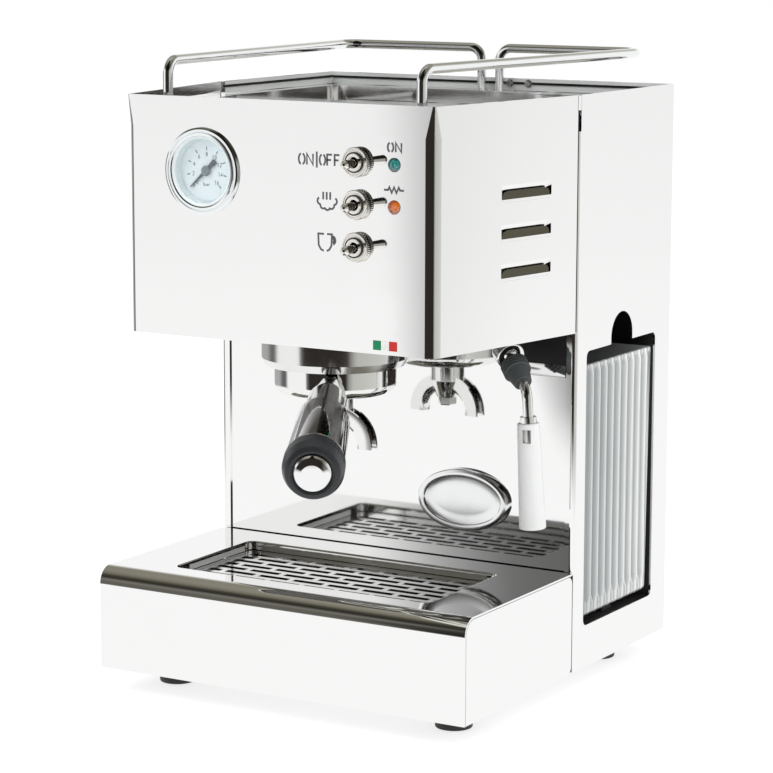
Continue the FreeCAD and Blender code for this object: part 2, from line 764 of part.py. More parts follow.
# Head
def head_shell():
    """Wrapped sheet of the head: tapered sides, rounded front corners that sharpen towards the top."""
    blend_z = BODY_H - HEAD_CORNER_BLEND
    lower = Part.Face(head_band(HEAD_UNDER, HEAD_CORNER_R)).extrude(Vector(0, 0, blend_z - HEAD_UNDER))
    upper = Part.makeLoft([head_band(blend_z, HEAD_CORNER_R), head_band(BODY_H, HEAD_TOP_CORNER_R)],
                          True, True)
    shell = lower.fuse(upper)
    shell = shell.cut(hole_y(GAUGE_X, GAUGE_Z, GAUGE_CASE_R + EDGE_GAP))
    for z in switch_heights():
        shell = shell.cut(hole_y(SWITCH_X, z, BUSH_R + FIT_GAP))
    for z in (LAMP_POWER_Z, LAMP_HEAT_Z):
        shell = shell.cut(hole_y(LAMP_X, z, LAMP_BODY_R + FIT_GAP))
    flaps = []
    for side in (-1, 1):
        for i in range(LOUVRE_COUNT):
            mouth, flap = louvre(side, LOUVRE_TOP_Z - i * LOUVRE_PITCH)
            shell = shell.cut(mouth)
            flaps.append(flap)
    return shell.fuse(flaps)


def louvre(side, top):
    """Opening and pressed-in flap of one side louvre."""
    along = Vector(side * TAPER, 1, 0) / SLANT
    out = Vector(side, -TAPER, 0) / SLANT
    middle = Vector(side * head_half(LOUVRE_Y, 0), LOUVRE_Y, 0)
    start = middle - along * (LOUVRE_L / 2)
    low = UP * (top - LOUVRE_H)
    high = UP * top
    lead = out * SHEET
    corners = [start + low + lead, start + along * LOUVRE_L + low + lead,
               start + along * LOUVRE_L + high + lead, start + high + lead]
    mouth = sheet_prism(corners, [LOUVRE_R, LOUVRE_R, 0, 0], out * (-3 * SHEET))
    inward = out * (-LOUVRE_DEPTH)
    skin = out * (-SHEET)
    flap = sheet_prism([start + high, start + low + inward, start + low + inward + skin, start + high + skin],
                       [0] * 4, along * LOUVRE_L)
    for end in (start - along * SHEET, start + along * LOUVRE_L):
        cheek = sheet_prism([end + high + skin, end + low + skin, end + low + inward], [0] * 3, along * SHEET)
        flap = flap.fuse(cheek)
    return mouth, flap


def head_underside():
    """Bottom plate of the head, from the front sheet to the splash panel."""
    front = PANEL_BACK
    tab = HALF_W - FLANGE_W - EDGE_GAP
    back = BASE_D + SHEET
    corners = [
        Vector(-head_half(front, SHEET), front, PLATE_Z),
        Vector(head_half(front, SHEET), front, PLATE_Z),
        Vector(head_half(HEAD_BACK, SHEET), HEAD_BACK, PLATE_Z),
        Vector(tab, HEAD_BACK, PLATE_Z),
        Vector(tab, back, PLATE_Z),
        Vector(-tab, back, PLATE_Z),
        Vector(-tab, HEAD_BACK, PLATE_Z),
        Vector(-head_half(HEAD_BACK, SHEET), HEAD_BACK, PLATE_Z),
    ]
    radii = [HEAD_CORNER_R, HEAD_CORNER_R, 0, 0, 0, 0, 0, 0]
    plate = sheet_prism(corners, radii, Vector(0, 0, SHEET))
    for x, y, radius in ((0, GROUP_Y, BELL_R + EDGE_GAP), (BALL_X, BALL_Y, SOCKET_STEM_R + FIT_GAP)):
        plate = plate.cut(rod(Vector(x, y, PLATE_Z - SHEET), Vector(x, y, PLATE_TOP + SHEET), radius))
    return plate


def tray_outline(inset, radius, z):
    """Plan outline of the cup tray, inset from the inside of the head and housing sheets."""
    skin = SHEET + FIT_GAP + inset
    front = HEAD_SETBACK + skin
    rear = BODY_BACK - skin
    side = HALF_W - skin
    joint = HEAD_BACK
    corners = [
        Vector(-head_half(front, skin), front, z),
        Vector(head_half(front, skin), front, z),
        Vector(min(side, head_half(joint, skin)), joint, z),
        Vector(side, BASE_D + SHEET, z),
        Vector(side, rear, z),
        Vector(-side, rear, z),
        Vector(-side, BASE_D + SHEET, z),
        Vector(-min(side, head_half(joint, skin)), joint, z),
    ]
    return outline(corners, [radius, radius, 0, 0, radius, radius, 0, 0])


def cup_tray():
    """Recessed cup warmer: a ledge inside the rim and a slotted pan."""
    floor_z = BODY_H - TRAY_DEPTH
    ledge = Part.Face(tray_outline(0, HEAD_CORNER_R, LEDGE_Z - SHEET)).extrude(UP * SHEET)
    pan = Part.Face(tray_outline(TRAY_LEDGE_W, TRAY_CORNER_R, floor_z - SHEET))
    pan = pan.extrude(UP * (LEDGE_Z - floor_z))
    hollow = Part.Face(tray_outline(TRAY_LEDGE_W + SHEET, TRAY_CORNER_R - SHEET, floor_z))
    tray = ledge.fuse(pan).cut(hollow.extrude(UP * TRAY_DEPTH))
    first = BODY_BACK / 2 - (TRAY_SLOT_COUNT - 1) / 2 * TRAY_SLOT_PITCH
    for i in range(TRAY_SLOT_COUNT):
        for x in (-TRAY_SLOT_L * 0.6, TRAY_SLOT_L * 0.6):
            tray = tray.cut(rounded_box(x, first + i * TRAY_SLOT_PITCH, TRAY_SLOT_L, TRAY_SLOT_W,
                                        TRAY_SLOT_W * 0.49, floor_z - 2 * SHEET, floor_z + SHEET))
    return tray


def tray_screws():
    """Two round screw heads on the rear inside wall of the tray."""
    wall = BODY_BACK - SHEET
    profile = [(0, 0, 0), (TRAY_SCREW_R, 0, 0), (TRAY_SCREW_R, TRAY_SCREW_PROUD, TRAY_SCREW_PROUD * 0.6),
               (0, TRAY_SCREW_PROUD, 0)]
    heads = []
    for side in (-0.5, 0.5):
        base = Vector(TRAY_SCREW_X + side * TRAY_SCREW_PITCH, wall, BODY_H - TRAY_SCREW_DROP)
        heads.append(turned(profile, base, FRONT))
    return heads


def cup_rail(side):
    """Bent rod rail: a front post, a run along the side, a rear corner and a post near the middle."""
    top = BODY_H + RAIL_RISE
    rear = BODY_BACK - RAIL_REAR_INSET
    points = [
        Vector(side * RAIL_FRONT_X, RAIL_FRONT_Y, LEDGE_Z),
        Vector(side * RAIL_FRONT_X, RAIL_FRONT_Y, top),
        Vector(side * RAIL_REAR_X, rear, top),
        Vector(side * RAIL_END_X, rear, top),
        Vector(side * RAIL_END_X, rear, LEDGE_Z),
    ]
    return bent_rod(points, [RAIL_BEND_R, RAIL_CORNER_R, RAIL_BEND_R], RAIL_R)


# Gauge
def gauge_case():
    """Closed gauge can behind the panel, with a shallow pocket for dial and needle."""
    front = Vector(GAUGE_X, HEAD_SETBACK, GAUGE_Z)
    back = front + Vector(0, GAUGE_CASE_L, 0)
    floor = front + Vector(0, GAUGE_POCKET_DEPTH, 0)
    can = rod(front, back, GAUGE_CASE_R).cut(rod(front, floor, GAUGE_POCKET_R))
    bore = rod(floor, floor + Vector(0, NEEDLE_SPINDLE_L, 0), NEEDLE_SPINDLE_R + RUN_CLEAR)
    nipple = rod(back, back + Vector(0, BLOCK_NIPPLE_L, 0), BLOCK_NIPPLE_R)
    return can.cut(bore).fuse(nipple)


def gauge_bezel():
    """Rolled chrome bezel with two crests, which clamps the glass to the can."""
    rebate = GLASS_R + FIT_GAP
    seat = GLASS_T + FIT_GAP
    profile = [(rebate, 0, 0), (BEZEL_FOOT_R, 0, 0), (BEZEL_R, BEZEL_FOOT_H, BEZEL_ROUND),
               (BEZEL_CREST_R, BEZEL_PROUD, BEZEL_ROUND), (BEZEL_GROOVE_R, BEZEL_GROOVE_PROUD, BEZEL_ROUND),
               (BEZEL_INNER_R, BEZEL_PROUD, BEZEL_ROUND), (BEZEL_BORE_R, BEZEL_BORE_PROUD, 0),
               (BEZEL_BORE_R, seat, 0), (rebate, seat, 0)]
    return turned(profile, Vector(GAUGE_X, HEAD_SETBACK, GAUGE_Z), FRONT)


def gauge_glass():
    """Flat gauge glass on the rim of the can."""
    rim = Vector(GAUGE_X, HEAD_SETBACK, GAUGE_Z)
    return rod(rim, rim + FRONT * GLASS_T, GLASS_R)


def gauge_dial():
    """Dial plate on the floor of the can's pocket."""
    floor = Vector(GAUGE_X, HEAD_SETBACK + GAUGE_POCKET_DEPTH, GAUGE_Z)
    face = floor + FRONT * DIAL_T
    return rod(floor, face, GAUGE_POCKET_R - FIT_GAP).cut(rod(floor, face, NEEDLE_SPINDLE_R + FIT_GAP))


def gauge_needle():
    """Pointer with hub, tail and spindle, resting at the low end of the dial."""
    y = HEAD_SETBACK + GAUGE_POCKET_DEPTH - DIAL_T - NEEDLE_LIFT
    hub = rod(Vector(0, y, 0), Vector(0, y - NEEDLE_HUB_T, 0), NEEDLE_HUB_R)
    spindle = rod(Vector(0, y, 0), Vector(0, y + NEEDLE_SPINDLE_L, 0), NEEDLE_SPINDLE_R)
    blade = sheet_prism([Vector(-NEEDLE_TAIL, y, -NEEDLE_W), Vector(NEEDLE_L, y, -NEEDLE_W / 4),
                         Vector(NEEDLE_L, y, NEEDLE_W / 4), Vector(-NEEDLE_TAIL, y, NEEDLE_W)],
                        [0] * 4, Vector(0, -NEEDLE_T, 0))
    needle = hub.fuse([spindle, blade])
    needle.rotate(Vector(0, 0, 0), Vector(0, -1, 0), NEEDLE_REST_DEG)
    needle.translate(Vector(GAUGE_X, 0, GAUGE_Z))
    return needle


# Switches and lamps
def switch_heights():
    """Heights of the three toggle switches, from the top down."""
    return [SWITCH_TOP_Z - i * SWITCH_PITCH for i in range(3)]


def lever_pivot(z):
    """Middle of a toggle lever's ball."""
    return Vector(SWITCH_X, HEAD_SETBACK - LEVER_PIVOT_PROUD, z)


def switch_bodies():
    """Three toggle switch bodies with their threaded bushes through the panel."""
    bodies = []
    for z in switch_heights():
        pivot = lever_pivot(z)
        box = block(SWITCH_X - SWITCH_BODY_W / 2, SWITCH_X + SWITCH_BODY_W / 2, PANEL_BACK,
                    PANEL_BACK + SWITCH_BODY_D, z - SWITCH_BODY_H / 2, z + SWITCH_BODY_H / 2)
        mouth = Vector(SWITCH_X, HEAD_SETBACK - BUSH_PROUD, z)
        bush = rod(mouth, Vector(SWITCH_X, PANEL_BACK, z), BUSH_R)
        cup = Part.makeSphere(LEVER_BALL_R + MOVE_CLEAR, pivot)
        slot = rod(mouth, pivot, LEVER_SLOT_R)
        half = LEVER_PIN_L / 2 + MOVE_CLEAR
        pin = rod(pivot - UP * half, pivot + UP * half, LEVER_PIN_R + RUN_CLEAR)
        bodies.append(box.fuse(bush).cut(cup).cut(slot).cut(pin))
    return Part.makeCompound(bodies)


def switch_nuts():
    """Three stepped dress nuts on the switch bushes."""
    bore = BUSH_R + RUN_CLEAR
    profile = [(bore, 0, 0), (NUT_R, 0, 0), (NUT_R, NUT_T, NUT_CHAMFER), (NUT_NECK_R, NUT_T, 0),
               (NUT_NECK_R, NUT_NECK_T, NUT_CHAMFER), (bore, NUT_NECK_T, 0)]
    nuts = [turned(profile, Vector(SWITCH_X, HEAD_SETBACK, z), FRONT) for z in switch_heights()]
    return Part.makeCompound(nuts)


def lever(index):
    """Bat lever of one toggle switch with its ball and upright pivot pin, thrown to the right."""
    profile = [(0, 0, 0), (LEVER_ROOT_R, 0, 0), (LEVER_TIP_R, LEVER_L - LEVER_POINT_L, LEVER_ROUND),
               (LEVER_POINT_R, LEVER_L, LEVER_ROUND), (0, LEVER_L, 0)]
    pivot = lever_pivot(switch_heights()[index])
    bat = turned(profile, pivot, FRONT)
    bat.rotate(pivot, UP, LEVER_REST_DEG)
    half = UP * (LEVER_PIN_L / 2)
    return bat.fuse([Part.makeSphere(LEVER_BALL_R, pivot), rod(pivot - half, pivot + half, LEVER_PIN_R)])


def lamp(z):
    """Pilot lamp: domed lens on the panel and its holder behind."""
    profile = [(0, -LAMP_BODY_L, 0), (LAMP_BODY_R, -LAMP_BODY_L, 0), (LAMP_BODY_R, 0, 0), (LAMP_R, 0, 0),
               (LAMP_R, LAMP_PROUD, LAMP_PROUD * 0.9), (0, LAMP_PROUD, 0)]
    return turned(profile, Vector(LAMP_X, HEAD_SETBACK, z), FRONT)


# Brewing group
def group_at(z):
    """Point on the group's axis."""
    return Vector(0, GROUP_Y, z)


def sector(inner, outer, z0, z1, middle_deg, sweep_deg):
    """Part of a flat ring about the group's axis."""
    ring = Part.makeCylinder(outer, z1 - z0, group_at(z0), UP, sweep_deg)
    ring = ring.cut(Part.makeCylinder(inner, z1 - z0, group_at(z0), UP, 360))
    ring.rotate(group_at(0), UP, middle_deg - sweep_deg / 2)
    return ring


def lug_angles():
    """Directions of the two portafilter lugs when it is locked."""
    return (HANDLE_AZ, HANDLE_AZ + 180)


def group_head():
    """Bell of the group, with two bayonet lips inside its mouth."""
    profile = [(SCREEN_SCREW_R + RUN_CLEAR, BELL_CEILING, 0), (BELL_BORE_R, BELL_CEILING, 0),
               (BELL_BORE_R, BELL_BOTTOM, 0), (BELL_EDGE_R, BELL_BOTTOM, 0),
               (BELL_R, BELL_BOTTOM + BELL_TAPER, 0), (BELL_R, BELL_TOP - BELL_SHOULDER, 0),
               (BELL_R - BELL_SHOULDER, BELL_TOP, 0), (SCREEN_SCREW_R + RUN_CLEAR, BELL_TOP, 0)]
    bell = turned(profile, group_at(0), UP)
    lips = []
    for angle in lug_angles():
        middle = angle - TURN_DEG + 90
        lips.append(sector(LIP_R, BELL_BORE_R + SHEET, LIP_BOTTOM, LIP_TOP, middle, LIP_SWEEP))
    bell = bell.fuse(lips)
    for x, y in bolt_places():
        bolt_end = Vector(x, y, BELL_TOP - BOLT_BITE - FIT_GAP)
        bell = bell.cut(rod(bolt_end, Vector(x, y, BELL_TOP), BOLT_R + FIT_GAP))
    return bell


def bolt_places():
    """Plan positions of the four bolts between heater and group."""
    places = []
    for i in range(4):
        angle = pi / 4 + i * pi / 2
        places.append((BOLT_PCD_R * cos(angle), GROUP_Y + BOLT_PCD_R * sin(angle)))
    return places


def group_bolts():
    """Four cap bolts down through the heater into the group."""
    bolts = []
    for x, y in bolt_places():
        shank = rod(Vector(x, y, BELL_TOP - BOLT_BITE), Vector(x, y, BLOCK_TOP), BOLT_R)
        head = rod(Vector(x, y, BLOCK_TOP), Vector(x, y, BLOCK_TOP + BOLT_HEAD_T), BOLT_HEAD_R)
        bolts.append(shank.fuse(head))
    return bolts


def group_gasket():
    """Rubber ring that the basket rim seals against."""
    return rod(group_at(GASKET_Z), group_at(BELL_CEILING), GASKET_R1).cut(
        rod(group_at(GASKET_Z), group_at(BELL_CEILING), GASKET_R0))


def shower_screen():
    """Dished screen under the water outlet."""
    low = BELL_CEILING - SCREEN_H
    bore = SCREEN_SCREW_R + FIT_GAP
    profile = [(bore, low, 0), (SCREEN_R, low, SCREEN_T * 1.2), (SCREEN_R, BELL_CEILING, 0),
               (SCREEN_R - SCREEN_T, BELL_CEILING, 0), (SCREEN_R - SCREEN_T, low + SCREEN_T, 0),
               (bore, low + SCREEN_T, 0)]
    return turned(profile, group_at(0), UP)


def screen_screw():
    """Domed screw that holds the shower screen."""
    low = BELL_CEILING - SCREEN_H
    profile = [(0, low - SCREEN_HEAD_T, 0), (SCREEN_HEAD_R, low - SCREEN_HEAD_T, SCREEN_HEAD_T * 0.7),
               (SCREEN_HEAD_R, low, 0), (SCREEN_SCREW_R, low, 0), (SCREEN_SCREW_R, low + SCREEN_SCREW_L, 0),
               (0, low + SCREEN_SCREW_L, 0)]
    return turned(profile, group_at(0), UP)


# Portafilter
def handle_axis():
    """Direction of the handle, out of the bowl and slightly down."""
    az = radians(HANDLE_AZ)
    droop = radians(HANDLE_DROOP)
    return Vector(sin(az) * cos(droop), -cos(az) * cos(droop), -sin(droop))


def handle_at(s):
    """Point on the handle's axis."""
    return group_at(HANDLE_Z0) + handle_axis() * s


def portafilter():
    """Plated brass bowl with two lugs, an outlet nipple and a neck for the handle."""
    floor = BOWL_BOTTOM + BOWL_FLOOR_T
    profile = [(OUTLET_BORE_R, BOWL_BOTTOM - OUTLET_L, 0), (OUTLET_R, BOWL_BOTTOM - OUTLET_L, 0),
               (OUTLET_R, BOWL_BOTTOM, 0), (BOWL_R, BOWL_BOTTOM, BOWL_EDGE_R), (BOWL_R, BOWL_TOP, 0),
               (BOWL_BORE_R, BOWL_TOP, 0), (BOWL_BORE_R, floor, 0), (OUTLET_BORE_R, floor, 0)]
    body = turned(profile, group_at(0), UP)
    for angle in lug_angles():
        body = body.fuse(sector(BOWL_R - SHEET, LUG_R, LUG_BOTTOM, LUG_BOTTOM + LUG_T, angle, LUG_SWEEP))
    neck = rod(handle_at(NECK_START), handle_at(COLLAR_START), NECK_R)
    stud = rod(handle_at(COLLAR_START), handle_at(COLLAR_START + STUD_L), STUD_R)
    return body.fuse([neck, stud])


def filter_basket():
    """Thin pressed basket that hangs by its rim in the bowl."""
    floor = BOWL_BOTTOM + BOWL_FLOOR_T + BASKET_FLOOR_GAP
    inner = BASKET_R - BASKET_T
    profile = [(0, floor, 0), (BASKET_R, floor, BASKET_EDGE_R), (BASKET_R, BOWL_TOP, 0),
               (BASKET_RIM_R, BOWL_TOP, 0), (BASKET_RIM_R, BASKET_RIM_TOP, 0), (inner, BASKET_RIM_TOP, 0),
               (inner, floor + BASKET_T, BASKET_EDGE_R - BASKET_T), (0, floor + BASKET_T, 0)]
    return turned(profile, group_at(0), UP)


def basket_spring():
    """Wire ring that grips the basket in the bowl."""
    return Part.makeTorus((BASKET_R + BOWL_BORE_R) / 2, SPRING_WIRE_R, group_at(SPRING_Z))


def spout():
    """Double spout: a tapered hub on the outlet and two curved open channels, square to the handle."""
    hub_top = BOWL_BOTTOM - FIT_GAP
    skirt_z = BOWL_BOTTOM - SPOUT_HUB_SKIRT
    profile = [(0, SPOUT_HUB_Z, 0), (SPOUT_HUB_END_R, SPOUT_HUB_Z, 0), (SPOUT_HUB_R, skirt_z, 0),
               (SPOUT_HUB_R, hub_top, 0), (0, hub_top, 0)]
    hub = turned(profile, group_at(0), UP)
    floor = BOWL_BOTTOM - OUTLET_L - FIT_GAP
    groove = SPOUT_ARC_R1 - SPOUT_GROOVE_DEPTH
    body = hub
    for side in (-1, 1):
        body = body.fuse(spout_leg(side, SPOUT_ARC_R0, SPOUT_ARC_R1, SPOUT_W))
    for side in (-1, 1):
        body = body.cut(spout_leg(side, groove, SPOUT_ARC_R1 + SHEET, SPOUT_GROOVE_W))
    body = body.fuse(hub)
    for side in (-1, 1):
        mouth = group_at(SPOUT_ARC_Z + groove) + spout_line() * (side * (SPOUT_HUB_R + SPOUT_PORT_R))
        body = body.cut(rod(group_at(floor), mouth, SPOUT_PORT_R))
    return body.cut(rod(group_at(floor), group_at(hub_top), OUTLET_R + RUN_CLEAR))


def spout_line():
    """Direction of the right spout leg, square to the handle."""
    az = radians(HANDLE_AZ)
    return Vector(cos(az), sin(az), 0)


def spout_leg(side, inner, outer, width):
    """Quarter bend and straight end of one spout leg, in the plane square to the handle."""
    along = spout_line() * side
    across = UP.cross(spout_line())
    centre = group_at(SPOUT_ARC_Z) + along * SPOUT_ARC_X - across * (width / 2)
    diag = (along + UP).normalize()
    drop = UP * (SPOUT_END_Z - SPOUT_ARC_Z)
    edges = [
        Part.Arc(centre + UP * outer, centre + diag * outer, centre + along * outer).toShape(),
        Part.LineSegment(centre + along * outer, centre + along * outer + drop).toShape(),
        Part.LineSegment(centre + along * outer + drop, centre + along * inner + drop).toShape(),
        Part.LineSegment(centre + along * inner + drop, centre + along * inner).toShape(),
        Part.Arc(centre + along * inner, centre + diag * inner, centre + UP * inner).toShape(),
        Part.LineSegment(centre + UP * inner, centre + UP * outer).toShape(),
    ]
    return Part.Face(Part.Wire(edges)).extrude(across * width)


def spout_nut():
    """Hexagon nut under the spout hub."""
    turns = [i * pi / 3 for i in range(6)]
    corners = [group_at(SPOUT_HUB_Z) + Vector(cos(turn), sin(turn), 0) * SPOUT_NUT_R for turn in turns]
    return sheet_prism(corners, [0] * 6, Vector(0, 0, -SPOUT_NUT_T))


def handle_collar():
    """Black collar between neck and grip."""
    start = handle_at(COLLAR_START)
    end = handle_at(COLLAR_START + COLLAR_T)
    return rod(start, end, COLLAR_R).cut(rod(start, end, STUD_R + RUN_CLEAR))


def handle_grip():
    """Chromed grip: a slim start, a step half way and a flare towards its end."""
    start = COLLAR_START + COLLAR_T
    bore = STUD_R + RUN_CLEAR
    profile = [(bore, start, 0), (GRIP_NECK_R - GRIP_CHAMFER, start, 0),
               (GRIP_NECK_R, start + GRIP_CHAMFER, 0), (GRIP_WAIST_R, GRIP_WAIST, 0), (GRIP_R, GRIP_STEP, 0),
               (GRIP_R + GRIP_STEP_RISE, GRIP_STEP + GRIP_STEP_RISE, 0),
               (GRIP_FLARE_R, GRIP_END, 0), (bore, GRIP_END, 0)]
    return turned(profile, group_at(HANDLE_Z0), handle_axis())


def handle_ring():
    """Black rubber ring at the end of the handle."""
    bore = CAP_STEM_R + RUN_CLEAR
    round_r = (RING_END - GRIP_END) * 0.45
    profile = [(bore, GRIP_END, 0), (RING_R, GRIP_END, round_r / 2), (RING_R, RING_END, round_r),
               (RING_FACE_R, RING_END, 0), (RING_FACE_R, CAP_SEAT, 0), (bore, CAP_SEAT, 0)]
    return turned(profile, group_at(HANDLE_Z0), handle_axis())


def handle_cap():
    """Domed chrome cap in the ring, on a stem into the grip."""
    dome = CAP_END - CAP_SEAT
    foot = CAP_SEAT - CAP_STEM_L
    profile = [(0, foot, 0), (CAP_STEM_R, foot, 0), (CAP_STEM_R, CAP_SEAT, 0),
               (CAP_R, CAP_SEAT, 0), (CAP_R, CAP_END, dome * 0.9), (0, CAP_END, 0)]
    return turned(profile, group_at(HANDLE_Z0), handle_axis())


# Steam wand
def heading(az_deg, droop_deg):
    """Direction az_deg from the front towards the right, droop_deg below level."""
    az = radians(az_deg)
    droop = radians(droop_deg)
    return Vector(sin(az) * cos(droop), -cos(az) * cos(droop), -sin(droop))


def ball_centre():
    """Middle of the steam ball joint."""
    return Vector(BALL_X, BALL_Y, BALL_Z)


def socket_axis():
    """Axis of the ball socket, halfway through the wand's tilt."""
    return heading(WAND_AZ, WAND_DROOP - TILT_DEG / 2)


def wand_down():
    """Direction of the long lower run of the wand."""
    return heading(WAND_LEAN_AZ, 90 - WAND_LEAN)


def wand_corner():
    """Corner point of the wand's bend."""
    return ball_centre() + heading(WAND_AZ, WAND_DROOP) * WAND_REACH


def steam_socket():
    """Plated ball socket with its lip, hung from the head's bottom plate."""
    cavity = BALL_R + MOVE_CLEAR
    profile = [(0, -SOCKET_BACK, 0), (SOCKET_R, -SOCKET_BACK, SOCKET_R * 0.6), (SOCKET_R, SOCKET_FRONT, 1.0),
               (0, SOCKET_FRONT, 0)]
    body = turned(profile, ball_centre(), socket_axis())
    top = Vector(BALL_X, BALL_Y, PLATE_TOP)
    under = Vector(BALL_X, BALL_Y, PLATE_Z)
    stem = rod(ball_centre(), top, SOCKET_STEM_R)
    flange = rod(under - UP * SOCKET_FLANGE_T, under, SOCKET_FLANGE_R)
    hollow = [(0, -SEAT_T - RUN_CLEAR, 0), (SEAT_R + RUN_CLEAR, -SEAT_T - RUN_CLEAR, 0),
              (SEAT_R + RUN_CLEAR, SOCKET_LIP_START, 0), (SOCKET_LIP_R, SOCKET_LIP_START, 0),
              (SOCKET_LIP_R, SOCKET_FRONT + SHEET, 0), (0, SOCKET_FRONT + SHEET, 0)]
    body = body.fuse([stem, flange])
    return body.cut(turned(hollow, ball_centre(), socket_axis())).cut(Part.makeSphere(cavity, ball_centre()))


def ball_seat():
    """Sliding seat ring behind the ball, which turns in the socket."""
    ring = turned([(SEAT_BORE_R, -SEAT_T, 0), (SEAT_R, -SEAT_T, 0), (SEAT_R, 0, 0), (SEAT_BORE_R, 0, 0)],
                  ball_centre(), socket_axis())
    return ring.cut(Part.makeSphere(BALL_R + RUN_CLEAR, ball_centre()))


def steam_wand():
    """Bent steam tube with its ball."""
    start = ball_centre()
    end = wand_corner() + wand_down() * WAND_DROP
    tube = bent_rod([start, wand_corner(), end], [WAND_BEND_R], WAND_R)
    return tube.fuse(Part.makeSphere(BALL_R, start, heading(WAND_AZ, WAND_DROOP)))


def steam_grip():
    """Ribbed silicone finger grip on the upper run of the wand."""
    bore = WAND_R + TUBE_GAP
    profile = [(bore, GRIP_START, 0)]
    s = GRIP_START
    for i in range(GRIP_RIBS):
        profile += [(GRIP_GROOVE_R, s, 0), (GRIP_RIB_R, s + GRIP_RIB_PITCH * 0.3, 0),
                    (GRIP_RIB_R, s + GRIP_RIB_PITCH * 0.8, 0)]
        s += GRIP_RIB_PITCH
    profile += [(GRIP_END_R0, s, 0), (GRIP_END_R1, s + GRIP_END_L, 0), (bore, s + GRIP_END_L, 0)]
    return turned(profile, ball_centre(), heading(WAND_AZ, WAND_DROOP))


def wand_tip():
    """Tip bushing on the tube: a collar above and a plain spigot for the sleeve."""
    bore = WAND_R + TUBE_GAP
    start = TIP_DROP
    profile = [(bore, start, 0), (TIP_COLLAR_R, start, 0), (TIP_COLLAR_R, start + TIP_COLLAR_T, 0),
               (TIP_R, start + TIP_COLLAR_T, 0), (TIP_R, start + TIP_L, 0), (0, start + TIP_L, 0),
               (0, WAND_DROP + TUBE_GAP, 0), (bore, WAND_DROP + TUBE_GAP, 0)]
    return turned(profile, wand_corner(), wand_down())


def froth_sleeve():
    """Frothing sleeve pushed onto the tip, with an air slot near its top."""
    start = TIP_DROP + TIP_COLLAR_T + MOVE_CLEAR
    grip = TIP_R + TUBE_GAP
    profile = [(grip, start, 0), (SLEEVE_TOP_R, start, 0.8), (SLEEVE_END_R, start + SLEEVE_L, 0.8),
               (SLEEVE_BORE_R, start + SLEEVE_L, 0), (SLEEVE_BORE_R, start + SLEEVE_GRIP_L, 0),
               (grip, start + SLEEVE_GRIP_L, 0)]
    sleeve = turned(profile, wand_corner(), wand_down())
    slot = Part.makeBox(SLEEVE_SLOT_W, SLEEVE_END_R, SLEEVE_SLOT_H,
                        Vector(-SLEEVE_SLOT_W / 2, -SLEEVE_END_R, -SLEEVE_SLOT_H))
    slot.rotate(Vector(0, 0, 0), UP, SLEEVE_SLOT_AZ)
    slot.translate(wand_corner() + wand_down() * (start + SLEEVE_SLOT_DROP))
    return sleeve.cut(slot)


# Water
def water_tank():
    """Clear ribbed tank, open on top, with a spigot at its inner end."""
    y0 = WINDOW_Y0 + TANK_CLEAR
    y1 = WINDOW_Y1 - TANK_CLEAR
    x_mid = (TANK_FACE + TANK_BACK) / 2
    depth = y1 - y0
    shell = rounded_box(x_mid, WINDOW_MID_Y, TANK_L, depth, TANK_CORNER_R, TANK_Z0, TANK_TOP)
    first = WINDOW_MID_Y - (TANK_RIB_COUNT - 1) / 2 * TANK_RIB_PITCH
    ribs = []
    for i in range(TANK_RIB_COUNT):
        y = first + i * TANK_RIB_PITCH
        foot = Vector(TANK_FACE, y, TANK_Z0 + TANK_RIB_END)
        ribs.append(rod(foot, Vector(TANK_FACE, y, TANK_TOP - TANK_RIB_END), TANK_RIB_R))
    spigot_start = Vector(TANK_BACK + TANK_WALL, WINDOW_MID_Y, TANK_SPIGOT_Z)
    spigot_end = Vector(TANK_BACK - TANK_SPIGOT_L, WINDOW_MID_Y, TANK_SPIGOT_Z)
    shell = shell.fuse(ribs + [rod(spigot_start, spigot_end, TANK_SPIGOT_R)])
    hollow = rounded_box(x_mid, WINDOW_MID_Y, TANK_L - 2 * TANK_WALL, depth - 2 * TANK_WALL,
                         TANK_CORNER_R - TANK_WALL, TANK_Z0 + TANK_WALL, TANK_TOP + TANK_WALL)
    drain = rod(spigot_start + Vector(TANK_WALL, 0, 0), spigot_end, TANK_SPIGOT_BORE_R)
    return shell.cut(hollow).cut(drain)


def tank_bay():
    """Dark bay round the tank, open at the window."""
    outer = block(BAY_BACK, BAY_MOUTH, BAY_Y0, BAY_Y1, BAY_Z0 - BAY_WALL, BAY_Z1 + BAY_WALL)
    inner = block(BAY_BACK + BAY_WALL, BAY_MOUTH, BAY_Y0 + BAY_WALL, BAY_Y1 - BAY_WALL, BAY_Z0, BAY_Z1)
    runner = block(TANK_BACK, TANK_FACE - TANK_CORNER_R, WINDOW_MID_Y - TANK_CORNER_R,
                   WINDOW_MID_Y + TANK_CORNER_R, BAY_Z0, TANK_Z0 - FIT_GAP)
    legs = []
    for x in (BAY_BACK, BAY_MOUTH - BAY_LEG_W):
        legs.append(block(x, x + BAY_LEG_W, BAY_Y0, BAY_Y1, FLOOR_T, BAY_Z0 - BAY_WALL))
    bay = outer.cut(inner).fuse([runner] + legs)
    barb = Vector(BAY_BACK, WINDOW_MID_Y, TANK_SPIGOT_Z)
    return bay.cut(rod(barb, barb + Vector(BAY_WALL, 0, 0), COUPLING_BARB_R + FIT_GAP))


